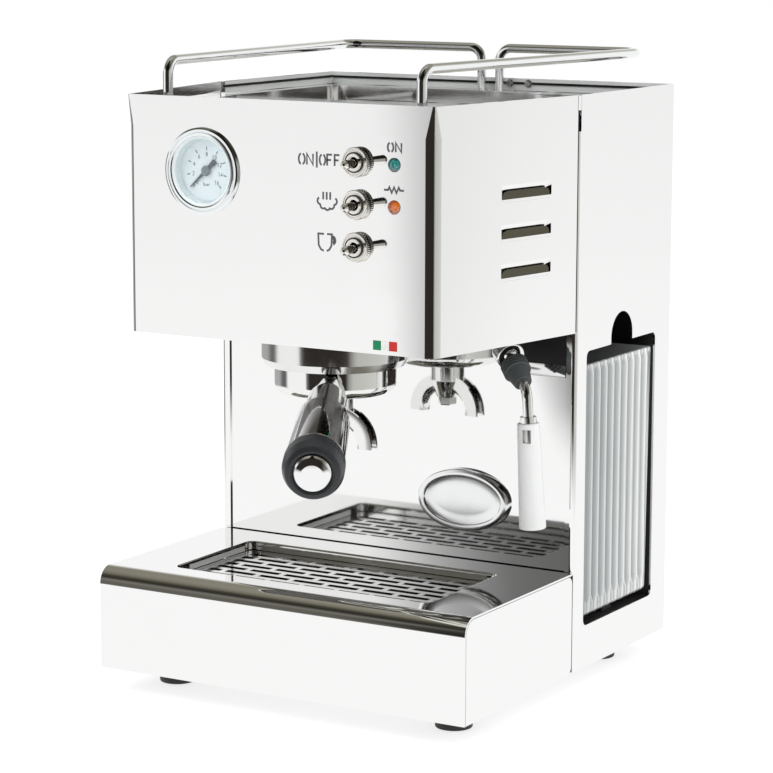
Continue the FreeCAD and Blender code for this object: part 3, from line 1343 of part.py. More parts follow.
def tank_coupling():
    """Socket that the tank's spigot plugs into, with a hose barb behind."""
    wall = BAY_BACK + BAY_WALL
    middle = Vector(0, WINDOW_MID_Y, TANK_SPIGOT_Z)
    cup_end = TANK_BACK - TANK_SPIGOT_L + COUPLING_REACH
    spigot_end = TANK_BACK - TANK_SPIGOT_L
    cup = rod(middle + Vector(wall, 0, 0), middle + Vector(cup_end, 0, 0), COUPLING_R)
    cup = cup.cut(rod(middle + Vector(spigot_end - TANK_CLEAR, 0, 0), middle + Vector(cup_end, 0, 0),
                      TANK_SPIGOT_R + MOVE_CLEAR))
    barb_end = BAY_BACK - COUPLING_BARB_L
    barb = rod(middle + Vector(barb_end, 0, 0), middle + Vector(wall, 0, 0), COUPLING_BARB_R)
    bore = rod(middle + Vector(barb_end, 0, 0), middle + Vector(cup_end, 0, 0), HOSE_BORE_R)
    return cup.fuse(barb).cut(bore)


def suction_hose():
    """Silicone hose from the tank coupling up into the pump."""
    start = Vector(BAY_BACK - COUPLING_BARB_L, WINDOW_MID_Y, TANK_SPIGOT_Z)
    corner = Vector(PUMP_X, WINDOW_MID_Y, TANK_SPIGOT_Z)
    end = Vector(PUMP_X, WINDOW_MID_Y, PUMP_BOTTOM - PUMP_NIPPLE_L)
    bend = min(HOSE_BEND_R, (end - corner).Length * 0.9)
    hose = bent_rod([start, corner, end], [bend], HOSE_R)
    return hose.cut(bent_rod([start, corner, end], [bend], HOSE_BORE_R))


def pump():
    """Vibration pump: coil block, brass end and nipples."""
    half = PUMP_W / 2
    top = PUMP_BOTTOM + PUMP_H
    coil = block(PUMP_X - half, PUMP_X + half, WINDOW_MID_Y - half, WINDOW_MID_Y + half, PUMP_BOTTOM, top)
    end_top = Vector(PUMP_X, WINDOW_MID_Y, top + PUMP_END_L)
    end = rod(Vector(PUMP_X, WINDOW_MID_Y, top), end_top, PUMP_END_R)
    outlet = rod(end_top, end_top + UP * PUMP_NIPPLE_L, PUMP_NIPPLE_R)
    under = Vector(PUMP_X, WINDOW_MID_Y, PUMP_BOTTOM)
    inlet = rod(under - UP * PUMP_NIPPLE_L, under, PUMP_NIPPLE_R)
    return coil.fuse([end, outlet, inlet])


def pump_mounts():
    """Two rubber mounts between the pump and the housing's left side."""
    mounts = []
    for side in (-0.5, 0.5):
        z = PUMP_BOTTOM + PUMP_H / 2 + side * PUMP_MOUNT_PITCH
        wall = Vector(SHEET - HALF_W, WINDOW_MID_Y, z)
        mounts.append(rod(wall, wall + Vector(PUMP_MOUNT_L, 0, 0), PUMP_MOUNT_R))
    return Part.makeCompound(mounts)


def pressure_pipe():
    """Pipe from the pump, over the splash panel, to the heater's left side."""
    top = PUMP_BOTTOM + PUMP_H + PUMP_END_L + PUMP_NIPPLE_L
    points = [
        Vector(PUMP_X, WINDOW_MID_Y, top),
        Vector(PUMP_X, WINDOW_MID_Y, BLOCK_PORT_Z),
        Vector(PUMP_X, GROUP_Y, BLOCK_PORT_Z),
        Vector(-BLOCK_W / 2 - BLOCK_NIPPLE_L, GROUP_Y, BLOCK_PORT_Z),
    ]
    return bent_rod(points, [PIPE_BEND_R, PIPE_BEND_R], PIPE_R)


def thermoblock():
    """Cast heater block on four legs, finned on top, with ports on both sides and on top."""
    cast = rounded_box(0, GROUP_Y, BLOCK_W, BLOCK_D, BLOCK_EDGE_R, BLOCK_Z, BLOCK_TOP)
    pitch = BLOCK_W / (BLOCK_FIN_COUNT + 1)
    for side in (-1, 1):
        face = GROUP_Y + side * BLOCK_D / 2
        for i in range(BLOCK_FIN_COUNT):
            x = -BLOCK_W / 2 + (i + 1) * pitch
            cast = cast.cut(block(x - BLOCK_FIN_W / 2, x + BLOCK_FIN_W / 2, face - BLOCK_FIN_DEPTH,
                                  face + BLOCK_FIN_DEPTH, BLOCK_Z, BLOCK_TOP))
    extras = []
    for x in (-BLOCK_LEG_X, BLOCK_LEG_X):
        for y in (GROUP_Y - BLOCK_LEG_Y, GROUP_Y + BLOCK_LEG_Y):
            extras.append(rod(Vector(x, y, PLATE_TOP), Vector(x, y, BLOCK_Z), BLOCK_LEG_R))
    for side, y in ((-1, GROUP_Y), (1, steam_port_y())):
        port = Vector(side * BLOCK_W / 2, y, BLOCK_PORT_Z)
        extras.append(rod(port, port + Vector(side * BLOCK_NIPPLE_L, 0, 0), BLOCK_NIPPLE_R))
    top_port = Vector(gauge_port_x(), GROUP_Y, BLOCK_TOP)
    extras.append(rod(top_port, top_port + UP * BLOCK_NIPPLE_L, BLOCK_NIPPLE_R))
    cast = cast.fuse(extras)
    for x, y in bolt_places():
        cast = cast.cut(rod(Vector(x, y, BLOCK_Z), Vector(x, y, BLOCK_TOP), BOLT_R + FIT_GAP))
    return cast


def steam_port_y():
    """Line of the heater's steam port, in front of the steam valve."""
    return BALL_Y - VALVE_W / 2 - 2 * PIPE_BEND_R


def gauge_port_x():
    """Line of the heater's top port, below the gauge."""
    return GAUGE_X + GAUGE_PIPE_X_OFFSET


def thermostats():
    """Two bimetal thermostats with their tabs on top of the heater."""
    discs = []
    for x in (-THERMOSTAT_X, THERMOSTAT_X):
        base = Vector(x, GROUP_Y, BLOCK_TOP)
        disc = rod(base, base + UP * THERMOSTAT_T, THERMOSTAT_R)
        for y in (-THERMOSTAT_R / 2, THERMOSTAT_R / 2):
            z = BLOCK_TOP + THERMOSTAT_T
            tab_y = GROUP_Y + y
            disc = disc.fuse(block(x - PAN_T * 2, x + PAN_T * 2, tab_y - PAN_T / 2, tab_y + PAN_T / 2,
                                   z, z + THERMOSTAT_TAB))
        discs.append(disc)
    return Part.makeCompound(discs)


def steam_valve():
    """Solenoid valve over the steam joint."""
    half = VALVE_W / 2
    low = PLATE_TOP
    body = block(BALL_X - half, BALL_X + half, BALL_Y - half, BALL_Y + half, low, low + VALVE_BODY_H)
    top = Vector(BALL_X, BALL_Y, low + VALVE_BODY_H)
    coil = rod(top, top + UP * VALVE_COIL_H, VALVE_COIL_R)
    return body.fuse(coil)


def steam_pipe():
    """Pipe from the heater to the steam valve."""
    valve_z = PLATE_TOP + VALVE_BODY_H / 2
    y = steam_port_y()
    start = Vector(BLOCK_W / 2 + BLOCK_NIPPLE_L, y, BLOCK_PORT_Z)
    points = [
        start,
        Vector(BALL_X, y, BLOCK_PORT_Z),
        Vector(BALL_X, y, valve_z),
        Vector(BALL_X, BALL_Y - VALVE_W / 2, valve_z),
    ]
    bend = min(PIPE_BEND_R, (BLOCK_PORT_Z - valve_z) * 0.48)
    return bent_rod(points, [bend, bend], PIPE_R)


def gauge_pipe():
    """Capillary pipe from the heater's top port to the gauge."""
    points = [
        Vector(gauge_port_x(), GROUP_Y, BLOCK_TOP + BLOCK_NIPPLE_L),
        Vector(gauge_port_x(), GROUP_Y, GAUGE_Z),
        Vector(gauge_port_x(), HEAD_SETBACK + GAUGE_CASE_L + BLOCK_NIPPLE_L, GAUGE_Z),
    ]
    return bent_rod(points, [PIPE_BEND_R], PIPE_R)


def power_inlet():
    """Three-pin mains inlet in the back of the housing."""
    back = BODY_BACK
    flange = block(INLET_X - INLET_W / 2, INLET_X + INLET_W / 2, back, back + INLET_FLANGE_T,
                   INLET_Z - INLET_H / 2, INLET_Z + INLET_H / 2)
    body = block(INLET_X - INLET_BODY_W / 2, INLET_X + INLET_BODY_W / 2, back - INLET_BODY_D, back,
                 INLET_Z - INLET_BODY_H / 2, INLET_Z + INLET_BODY_H / 2)
    cup_floor = back + INLET_FLANGE_T - INLET_CUP_D
    cup = block(INLET_X - INLET_CUP_W / 2, INLET_X + INLET_CUP_W / 2, cup_floor, back + INLET_FLANGE_T,
                INLET_Z - INLET_CUP_H / 2, INLET_Z + INLET_CUP_H / 2)
    inlet = flange.fuse(body).cut(cup)
    for i in (-1, 0, 1):
        x = INLET_X + i * INLET_PIN_PITCH
        z = INLET_Z + (INLET_PIN_H / 2 if i == 0 else -INLET_PIN_H / 2)
        inlet = inlet.fuse(block(x - INLET_PIN_W / 2, x + INLET_PIN_W / 2, cup_floor - SHEET,
                                 cup_floor + INLET_PIN_L, z - INLET_PIN_H / 2, z + INLET_PIN_H / 2))
    return inlet


NODES = {
    "base_wrap": base_wrap(),
    "base_side_left": base_side(-1),
    "base_side_right": base_side(1),
    "floor_plate": floor_plate(),
    "rubber_feet": rubber_feet(),
    "drip_tray": drip_tray(),
    "drip_grid": drip_grid(),
    "rear_housing": rear_housing(),
    "splash_panel": splash_panel(),
    "badge": badge(),
    "head_shell": head_shell(),
    "head_underside": head_underside(),
    "cup_tray": cup_tray(),
    "cup_rail_left": cup_rail(-1),
    "cup_rail_right": cup_rail(1),
    "gauge_case": gauge_case(),
    "gauge_bezel": gauge_bezel(),
    "gauge_glass": gauge_glass(),
    "gauge_dial": gauge_dial(),
    "gauge_needle": gauge_needle(),
    "switch_bodies": switch_bodies(),
    "switch_nuts": switch_nuts(),
    "lever_power": lever(0),
    "lever_steam": lever(1),
    "lever_coffee": lever(2),
    "lamp_power": lamp(LAMP_POWER_Z),
    "lamp_heat": lamp(LAMP_HEAT_Z),
    "group_head": group_head(),
    "body_screws": Part.makeCompound(tray_screws() + group_bolts()),
    "group_gasket": group_gasket(),
    "shower_screen": shower_screen(),
    "screen_screw": screen_screw(),
    "portafilter": portafilter(),
    "filter_basket": filter_basket(),
    "basket_spring": basket_spring(),
    "spout": spout(),
    "spout_nut": spout_nut(),
    "handle_collar": handle_collar(),
    "handle_grip": handle_grip(),
    "handle_ring": handle_ring(),
    "handle_cap": handle_cap(),
    "steam_socket": steam_socket(),
    "ball_seat": ball_seat(),
    "steam_wand": steam_wand(),
    "steam_grip": steam_grip(),
    "wand_tip": wand_tip(),
    "froth_sleeve": froth_sleeve(),
    "water_tank": water_tank(),
    "tank_bay": tank_bay(),
    "tank_coupling": tank_coupling(),
    "suction_hose": suction_hose(),
    "pump": pump(),
    "pump_mounts": pump_mounts(),
    "pressure_pipe": pressure_pipe(),
    "thermoblock": thermoblock(),
    "thermostats": thermostats(),
    "steam_valve": steam_valve(),
    "steam_pipe": steam_pipe(),
    "gauge_pipe": gauge_pipe(),
    "power_inlet": power_inlet(),
}

# The origin goes under the middle of the whole machine, handle included, on the table
whole = Part.makeCompound(list(NODES.values())).optimalBoundingBox(True, False)
SHIFT = Vector(0, -(whole.YMin + whole.YMax) / 2, FOOT_H)

os.makedirs("parts", exist_ok=True)
for name, shape in NODES.items():
    shape.translate(SHIFT)
    shape.exportStep("parts/%s.step" % name)

print("shift", round(SHIFT.y, 4), round(SHIFT.z, 4))
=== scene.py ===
import bmesh
import bpy
from math import cos, pi, radians, sin, tan
from mathutils import Matrix, Vector


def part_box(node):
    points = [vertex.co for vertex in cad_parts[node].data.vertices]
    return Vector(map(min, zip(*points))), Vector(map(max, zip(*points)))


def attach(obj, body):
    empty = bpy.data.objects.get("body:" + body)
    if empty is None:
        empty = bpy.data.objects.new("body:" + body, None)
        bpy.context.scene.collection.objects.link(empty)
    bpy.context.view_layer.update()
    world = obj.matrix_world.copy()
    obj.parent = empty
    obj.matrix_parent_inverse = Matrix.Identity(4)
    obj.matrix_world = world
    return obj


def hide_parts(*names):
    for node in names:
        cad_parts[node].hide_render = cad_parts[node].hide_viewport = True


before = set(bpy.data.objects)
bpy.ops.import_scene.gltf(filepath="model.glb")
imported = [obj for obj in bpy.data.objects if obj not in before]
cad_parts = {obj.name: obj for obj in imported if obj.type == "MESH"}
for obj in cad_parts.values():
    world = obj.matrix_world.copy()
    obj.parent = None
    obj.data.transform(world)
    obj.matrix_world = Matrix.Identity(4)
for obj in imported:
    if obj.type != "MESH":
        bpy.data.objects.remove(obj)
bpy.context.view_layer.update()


# Camera: a long lens just above the height of the rails, looking a little down on the front right corner.
# The frame is meant to be the photograph's square, which is not set here; the camera has no shift.
base_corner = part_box("base_wrap")[0]


def at(x, y, z):
    """Place on the machine: millimetres from the middle, the base's front and the sheet's lower edge."""
    return Vector((x / 1000, base_corner.y + y / 1000, base_corner.z + z / 1000))


scene = bpy.context.scene
scene.view_settings.view_transform = "Standard"
camera_data = bpy.data.cameras.new("camera")
camera_data.lens = 132.51
camera_data.sensor_width = 36.0
camera_data.clip_end = 50.0
camera = bpy.data.objects.new("camera", camera_data)
scene.collection.objects.link(camera)
camera_az, camera_pitch, camera_roll = radians(30.62), radians(9.56), radians(0.14)
camera_ahead = Vector((-sin(camera_az) * cos(camera_pitch), cos(camera_az) * cos(camera_pitch),
                       -sin(camera_pitch)))
camera_side = Vector((cos(camera_az), sin(camera_az), 0))
camera_up = camera_side.cross(camera_ahead)
camera_right = camera_side * cos(camera_roll) + camera_up * sin(camera_roll)
camera_top = camera_up * cos(camera_roll) - camera_side * sin(camera_roll)
camera_place = at(868.7, -1342.6, 451.3)
camera_turn = Matrix((camera_right, camera_top, -camera_ahead)).transposed()
camera.matrix_world = Matrix.Translation(camera_place) @ camera_turn.to_4x4()
scene.camera = camera


# Studio: a white room of soft panels near the horizon, under a brown ceiling.
# Towards the camera there is a dark gap between the panels, which the steel's corners pick up.
# Far to the left is a dark corner, which the left edges of the round pieces pick up.
def link_pairs(tree, *sockets):
    """Joins pairs of sockets in a node tree."""
    for source, target in zip(sockets[::2], sockets[1::2]):
        tree.links.new(source, target)


def feed(tree, socket, value):
    """Sets a socket to a number or a colour, or links another socket to it."""
    if isinstance(value, tuple):
        socket.default_value = (*value, 1)
    elif isinstance(value, (int, float)):
        socket.default_value = value
    else:
        tree.links.new(value, socket)


def math_node(tree, operation, first, second=0.5):
    """Math node whose inputs are numbers or sockets; gives its output socket."""
    node = tree.nodes.new("ShaderNodeMath")
    node.operation = operation
    feed(tree, node.inputs[0], first)
    feed(tree, node.inputs[1], second)
    return node.outputs[0]


def ramp_node(tree, factor, stops):
    """Colour ramp over (place, grey or colour) stops; gives its colour socket."""
    node = tree.nodes.new("ShaderNodeValToRGB")
    while len(node.color_ramp.elements) < len(stops):
        node.color_ramp.elements.new(0.5)
    for element, (place, colour) in zip(node.color_ramp.elements, stops):
        element.position = place
        element.color = (*colour, 1) if isinstance(colour, tuple) else (colour, colour, colour, 1)
    tree.links.new(factor, node.inputs[0])
    return node.outputs[0]


def mix_node(tree, factor, first, second, blend="MIX"):
    """Colour mix of two sockets or colours by a number or a socket; gives its colour socket."""
    node = tree.nodes.new("ShaderNodeMix")
    node.data_type = "RGBA"
    node.blend_type = blend
    for name, value in (("Factor", factor), ("A", first), ("B", second)):
        feed(tree, node.inputs[name], value)
    return node.outputs["Result"]


def room_tint(tree, x, y, edge, rise=None):
    """Shade of the room round the horizon: white panels, the dark gap at the camera from its edge in degrees
    onwards, a beige wall beside it, and a dark corner far left that ends low down where a rise is given."""
    around = math_node(tree, "ARCTAN2", x, math_node(tree, "MULTIPLY", y, -1.0))
    turn_share = math_node(tree, "ADD", math_node(tree, "DIVIDE", around, 2 * pi), 0.5)
    gap_stops = [(edge, 1.0), (edge + 0.8, 0.62), (edge + 2.4, 0.20), (edge + 8.0, (0.030, 0.025, 0.021)),
                 (50.0, (0.026, 0.021, 0.018)), (57.0, (0.33, 0.33, 0.31)), (66.0, (0.55, 0.55, 0.52)),
                 (92.0, (0.60, 0.60, 0.57)), (118.0, (0.66, 0.66, 0.63)), (129.0, (0.86, 0.86, 0.85)),
                 (134.0, 1.0)]
    corner_stops = [(-152.0, 1.0), (-140.0, 0.45), (-100.0, 0.42), (-88.0, 0.14), (-79.0, 0.14),
                    (-71.0, 1.0)]
    gap, corner = (ramp_node(tree, turn_share, [(0.5 + place / 360, shade) for place, shade in stops])
                   for stops in (gap_stops, corner_stops))
    if rise:
        corner = mix_node(tree, ramp_node(tree, rise, [(0.54, 1.0), (0.565, 0.0)]), (1.0, 1.0, 1.0), corner)
    return mix_node(tree, 1.0, gap, corner, "MULTIPLY")


def parts_node(tree, kind):
    """Texture coordinates of a kind; gives their x, y and z sockets."""
    place = tree.nodes.new("ShaderNodeTexCoord")
    parts = tree.nodes.new("ShaderNodeSeparateXYZ")
    tree.links.new(place.outputs[kind], parts.inputs[0])
    return parts.outputs


def range_node(tree, value, start, end, low=0.0, high=1.0):
    """Value between start and end, spread between low and high; gives its socket."""
    node = tree.nodes.new("ShaderNodeMapRange")
    for name, number in (("From Min", start), ("From Max", end), ("To Min", low), ("To Max", high)):
        node.inputs[name].default_value = number
    tree.links.new(value, node.inputs["Value"])
    return node.outputs[0]


def shader_node(tree, kind, colour, strength=None):
    """Shader of a plain or a linked colour; gives its socket."""
    node = tree.nodes.new("ShaderNode" + kind)
    feed(tree, node.inputs["Color"], colour)
    if strength:
        node.inputs["Strength"].default_value = strength
    return node.outputs[0]


def shader_mix(tree, factor, first, second):
    """Mix of two shaders; gives its socket."""
    node = tree.nodes.new("ShaderNodeMixShader")
    link_pairs(tree, factor, node.inputs[0], first, node.inputs[1], second, node.inputs[2])
    return node.outputs[0]


room = bpy.data.worlds.new("room")
scene.world = room
room.use_nodes = True
tree = room.node_tree
tree.nodes.clear()
ray = tree.nodes.new("ShaderNodeLightPath")
parts = parts_node(tree, "Generated")
height = math_node(tree, "ADD", math_node(tree, "MULTIPLY", parts[2], 0.5), 0.5)
ceiling = (0.45, 0.44, 0.40)
behind = ramp_node(tree, height, [(0.0, 0.90), (0.52, 0.97), (0.67, 0.95), (0.76, (0.42, 0.41, 0.36)),
                                  (0.84, (0.24, 0.23, 0.19)), (0.95, (0.30, 0.29, 0.25)), (1.0, ceiling)])
before = ramp_node(tree, height, [(0.0, 0.90), (0.52, 0.96), (0.625, 0.90), (0.68, 0.42),
                                  (0.735, (0.07, 0.065, 0.055)), (0.82, (0.09, 0.085, 0.07)),
                                  (0.90, (0.25, 0.24, 0.20)), (1.0, ceiling)])
half_share = range_node(tree, math_node(tree, "MULTIPLY", parts[1], 4.0), -1.0, 1.0)
panels = mix_node(tree, half_share, before, behind)
room_gap_edge = -31.0
room_shade = room_tint(tree, parts[0], parts[1], room_gap_edge, height)
mirrored = shader_node(tree, "Background", mix_node(tree, 1.0, panels, room_shade, "MULTIPLY"))
plain = shader_node(tree, "Background", (1, 1, 1), 0.75)
white = shader_node(tree, "Background", (1, 1, 1))
seen_white = math_node(tree, "MAXIMUM", ray.outputs["Is Camera Ray"], ray.outputs["Is Transmission Ray"])
by_gloss = shader_mix(tree, ray.outputs["Is Glossy Ray"], plain, mirrored)
output = tree.nodes.new("ShaderNodeOutputWorld")
tree.links.new(shader_mix(tree, seen_white, by_gloss, white), output.inputs[0])

for lamp_name, place, power, size in (("lamp_left", (-1.6, -1.5, 1.9), 26, 1.6),
                                      ("lamp_right", (1.9, -0.4, 1.6), 18, 1.4),
                                      ("lamp_top", (0.0, 0.3, 2.4), 16, 1.8)):
    lamp_data = bpy.data.lights.new(lamp_name, "AREA")
    lamp_data.energy = power
    lamp_data.size = size
    lamp = bpy.data.objects.new(lamp_name, lamp_data)
    lamp.location = place
    lamp.rotation_mode = "QUATERNION"
    lamp.rotation_quaternion = (Vector((0, 0, 0.15)) - Vector(place)).to_track_quat("-Z", "Y")
    lamp.visible_glossy = False
    lamp.visible_transmission = False
    scene.collection.objects.link(lamp)


# Floor: a white table that runs out of view, plain but for the soft shadow under the machine.
# Away from the machine it greys a little, and towards the camera it ends in the dark of the room.
table_reach = 6.0
table_mesh = bpy.data.meshes.new("table")
table_corners = [(x * table_reach, y * table_reach, 0) for x, y in ((-1, -1), (1, -1), (1, 1), (-1, 1))]
table_mesh.from_pydata(table_corners, [], [(0, 1, 2, 3)])
table = bpy.data.objects.new("table", table_mesh)
scene.collection.objects.link(table)
table_white = bpy.data.materials.new("table_white")
table_mesh.materials.append(table_white)
table_white.use_nodes = True
tree = table_white.node_tree
tree.nodes.clear()
ray = tree.nodes.new("ShaderNodeLightPath")
place = tree.nodes.new("ShaderNodeTexCoord")
length = tree.nodes.new("ShaderNodeVectorMath")
length.operation = "LENGTH"
tree.links.new(place.outputs["Object"], length.inputs[0])
far = math_node(tree, "DIVIDE", length.outputs["Value"], table_reach)
fade = ramp_node(tree, far, [(0.0, 0.99), (0.20, 0.98), (0.40, 0.94), (1.0, 0.91)])
edge = ramp_node(tree, far, [(0.10, 0.0), (0.15, 1.0)])
head_corner, table_gap_edge = at(92.5, 3, 0), -30.5
parts = parts_node(tree, "Object")
from_head_x = math_node(tree, "SUBTRACT", parts[0], head_corner.x)
from_head_y = math_node(tree, "SUBTRACT", parts[1], head_corner.y)
shaded = mix_node(tree, 1.0, fade, room_tint(tree, from_head_x, from_head_y, table_gap_edge), "MULTIPLY")
mirrored = shader_node(tree, "Emission", mix_node(tree, edge, fade, shaded))
paint = shader_node(tree, "BsdfDiffuse", (0.85, 0.85, 0.85))
shade = shader_node(tree, "BsdfDiffuse", (0.40, 0.40, 0.40))
lit = tree.nodes.new("ShaderNodeAddShader")
link_pairs(tree, shader_node(tree, "Emission", (1, 1, 1), 0.74), lit.inputs[0], shade, lit.inputs[1])
seen_white = math_node(tree, "MAXIMUM", ray.outputs["Is Camera Ray"], ray.outputs["Is Transmission Ray"])
by_camera = shader_mix(tree, seen_white, paint, lit.outputs[0])
output = tree.nodes.new("ShaderNodeOutputMaterial")
tree.links.new(shader_mix(tree, ray.outputs["Is Glossy Ray"], by_camera, mirrored), output.inputs[0])


# Sheet body: stainless sheet polished to a mirror, bent over the base's front edge and round the head.
# The sheet is a little wavy, so reflections swim, and fine polishing marks dull it in places.
# The base's bend is painted darker by the rise of its normal: painted shade for the dark the bend reflects.
def noise_node(tree, scale, detail, seed):
    """Noise over the piece's own space; gives its value socket."""
    place = tree.nodes.new("ShaderNodeTexCoord")
    shift = tree.nodes.new("ShaderNodeMapping")
    shift.inputs["Location"].default_value = (seed, seed * 0.7, seed * 0.3)
    noise = tree.nodes.new("ShaderNodeTexNoise")
    noise.inputs["Scale"].default_value = scale
    noise.inputs["Detail"].default_value = detail
    link_pairs(tree, place.outputs["Object"], shift.inputs[0], shift.outputs[0], noise.inputs["Vector"])
    return noise.outputs["Fac"]


def spread_node(tree, value, low, high):
    """Noise value spread between two numbers; gives its socket."""
    return range_node(tree, value, 0.3, 0.7, low, high)


def bump_node(tree, height_value, depth):
    """Bump of a depth in millimetres; gives its normal socket."""
    node = tree.nodes.new("ShaderNodeBump")
    node.inputs["Distance"].default_value = depth / 1000
    tree.links.new(height_value, node.inputs["Height"])
    return node.outputs[0]


def new_material(name, slot):
    """Material that takes its finish from a slot; gives it with its node tree and shader."""
    material = bpy.data.materials.new(name)
    material["slot"] = slot
    material.use_nodes = True
    return material, material.node_tree, material.node_tree.nodes["Principled BSDF"]


def bright_metal(name, slot, tint, dull, wave, seed, rise_shade_stops=None):
    """Polished metal: tint, roughness, waviness in millimetres, pattern, painted shade by the normal's rise.
    """
    metal, tree, skin = new_material(name, slot)
    skin.inputs["Base Color"].default_value = (*tint, 1)
    skin.inputs["Metallic"].default_value = 1.0
    marks = noise_node(tree, 38.0, 6.0, seed)
    tree.links.new(spread_node(tree, marks, dull * 0.7, dull * 1.4), skin.inputs["Roughness"])
    if wave:
        tree.links.new(bump_node(tree, noise_node(tree, 9.0, 1.0, seed), wave), skin.inputs["Normal"])
    # Painted shade: the colour follows the rise of the surface's normal.
    if rise_shade_stops:
        facing = tree.nodes.new("ShaderNodeNewGeometry")
        rise = tree.nodes.new("ShaderNodeSeparateXYZ")
        tree.links.new(facing.outputs["Normal"], rise.inputs[0])
        tree.links.new(ramp_node(tree, rise.outputs[2], rise_shade_stops), skin.inputs["Base Color"])
    return metal


def soften(piece, limit=32):
    """Smooth shading, kept crisp at edges sharper than the limit in degrees."""
    group = bpy.data.node_groups.get("soften_%d" % limit)
    if group is None:
        group = bpy.data.node_groups.new("soften_%d" % limit, "GeometryNodeTree")
        group.interface.new_socket("Geometry", in_out="INPUT", socket_type="NodeSocketGeometry")
        group.interface.new_socket("Geometry", in_out="OUTPUT", socket_type="NodeSocketGeometry")
        start = group.nodes.new("NodeGroupInput")
        end = group.nodes.new("NodeGroupOutput")
        faces = group.nodes.new("GeometryNodeSetShadeSmooth")
        edges = group.nodes.new("GeometryNodeSetShadeSmooth")
        edges.domain = "EDGE"
        edges.inputs["Shade Smooth"].default_value = False
        angle = group.nodes.new("GeometryNodeInputMeshEdgeAngle")
        sharp = group.nodes.new("ShaderNodeMath")
        sharp.operation = "GREATER_THAN"
        sharp.inputs[1].default_value = radians(limit)
        link_pairs(group, start.outputs[0], faces.inputs["Geometry"],
                   faces.outputs[0], edges.inputs["Geometry"],
                   angle.outputs["Unsigned Angle"], sharp.inputs[0],
                   sharp.outputs[0], edges.inputs["Selection"], edges.outputs[0], end.inputs[0])
    smooth = piece.modifiers.new("soften", "NODES")
    smooth.node_group = group


def dress(material, *names):
    """Gives CAD nodes a material and smooth shading across their soft edges."""
    for name in names:
        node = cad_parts[name]
        node.data.materials.clear()
        node.data.materials.append(material)
        soften(node)


sheet_tint = (0.94, 0.94, 0.935)
# Painted shade for the base's bend: darker between the front face and the top, where the normal rises only
# partly.
base_bend_shade = [(0.0, sheet_tint), (0.03, (0.34, 0.33, 0.31)), (0.10, (0.11, 0.105, 0.09)),
             (0.22, (0.13, 0.125, 0.105)), (0.40, (0.28, 0.27, 0.24)), (0.62, (0.76, 0.75, 0.69)),
             (0.92, (0.84, 0.83, 0.78)), (1.0, sheet_tint)]
dress(bright_metal("base_steel_shaded_bend", "polished_steel", sheet_tint, 0.05, 0.015, 1.0, base_bend_shade), "base_wrap")
dress(bright_metal("side_steel", "polished_steel", sheet_tint, 0.05, 0.015, 2.0),
      "base_side_left", "base_side_right")
dress(bright_metal("housing_steel", "polished_steel", sheet_tint, 0.05, 0.015, 3.0), "rear_housing")
dress(bright_metal("head_steel", "polished_steel", sheet_tint, 0.05, 0.015, 5.0), "head_shell")
dress(bright_metal("underside_steel", "satin_steel", (0.16, 0.155, 0.15), 0.35, 0.01, 6.0), "head_underside")
dress(bright_metal("splash_steel", "polished_steel", sheet_tint, 0.04, 0.012, 7.0), "splash_panel")
dress(bright_metal("tray_steel", "polished_steel", sheet_tint, 0.06, 0.015, 9.0), "cup_tray")


# Joint shade: black strips set in the gaps where other sheets meet the rear housing, painted shade for the
# dark of the gaps. They show as a thin dark line down the sides of the head and of the base, and round the
# cup tray, where they stand for the shaded inner wall of the rim.
def add_piece(name, points, faces, material, body, *stands_for, crisp=35):
    """Mesh piece from points in metres; it rides on a body and may stand for CAD nodes."""
    mesh = bpy.data.meshes.new(name)
    mesh.from_pydata(points, [], faces)
    shape = bmesh.new()
    shape.from_mesh(mesh)
    bmesh.ops.remove_doubles(shape, verts=shape.verts, dist=0.000002)
    bmesh.ops.recalc_face_normals(shape, faces=shape.faces)
    shape.to_mesh(mesh)
    shape.free()
    mesh.materials.append(material)
    mesh.polygons.foreach_set("use_smooth", [True] * len(mesh.polygons))
    mesh.set_sharp_from_angle(angle=radians(crisp))
    piece = bpy.data.objects.new(name, mesh)
    scene.collection.objects.link(piece)
    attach(piece, body)
    if stands_for:
        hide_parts(*stands_for)
    return piece


def tube_faces(count, rings):
    """Faces over rings of count points each, closed at both ends."""
    faces = [list(range(count)), list(range((rings - 1) * count, rings * count))]
    for first in range(0, (rings - 1) * count, count):
        for k in range(count):
            a, b = first + k, first + (k + 1) % count
            faces.append([a, b, b + count, a + count])
    return faces


def sweep(name, path, section, material, body, *stands_for, across=None):
    """Piece of one cross-section in millimetres carried along a path and closed at both ends."""
    side = across or (path[1] - path[0]).orthogonal()
    points = []
    for i, place in enumerate(path):
        ahead = (path[min(i + 1, len(path) - 1)] - path[max(i - 1, 0)]).normalized()
        side = (side - ahead * side.dot(ahead)).normalized()
        up = ahead.cross(side)
        points += [place + side * (u / 1000) + up * (v / 1000) for u, v in section]
    return add_piece(name, points, tube_faces(len(section), len(path)), material, body, *stands_for)


def strip(name, start, end, half_wide, half_tall, material, across):
    """Straight bar of oblong section from one place on the machine to another."""
    section = [(u * half_wide, v * half_tall) for u, v in ((-1, -1), (1, -1), (1, 1), (-1, 1))]
    return sweep(name, [at(*start), at(*end)], section, material, "machine", across=across)


def moulded(name, slot, colour, dull, grain, seed, shift=0.12, scale=60.0):
    """Plastic, rubber or paint: colour, roughness, depth of its fine grain in millimetres, own pattern."""
    stuff, tree, skin = new_material(name, slot)
    cloud = noise_node(tree, scale, 4.0, seed)
    darker = tuple(part * (1 - shift) for part in colour)
    lighter = tuple(min(1.0, part * (1 + shift)) for part in colour)
    tree.links.new(ramp_node(tree, cloud, [(0.3, darker), (0.7, lighter)]), skin.inputs["Base Color"])
    tree.links.new(spread_node(tree, cloud, dull * 0.85, min(1.0, dull * 1.15)), skin.inputs["Roughness"])
    if grain:
        tree.links.new(bump_node(tree, noise_node(tree, 900.0, 2.0, seed), grain), skin.inputs["Normal"])
    return stuff
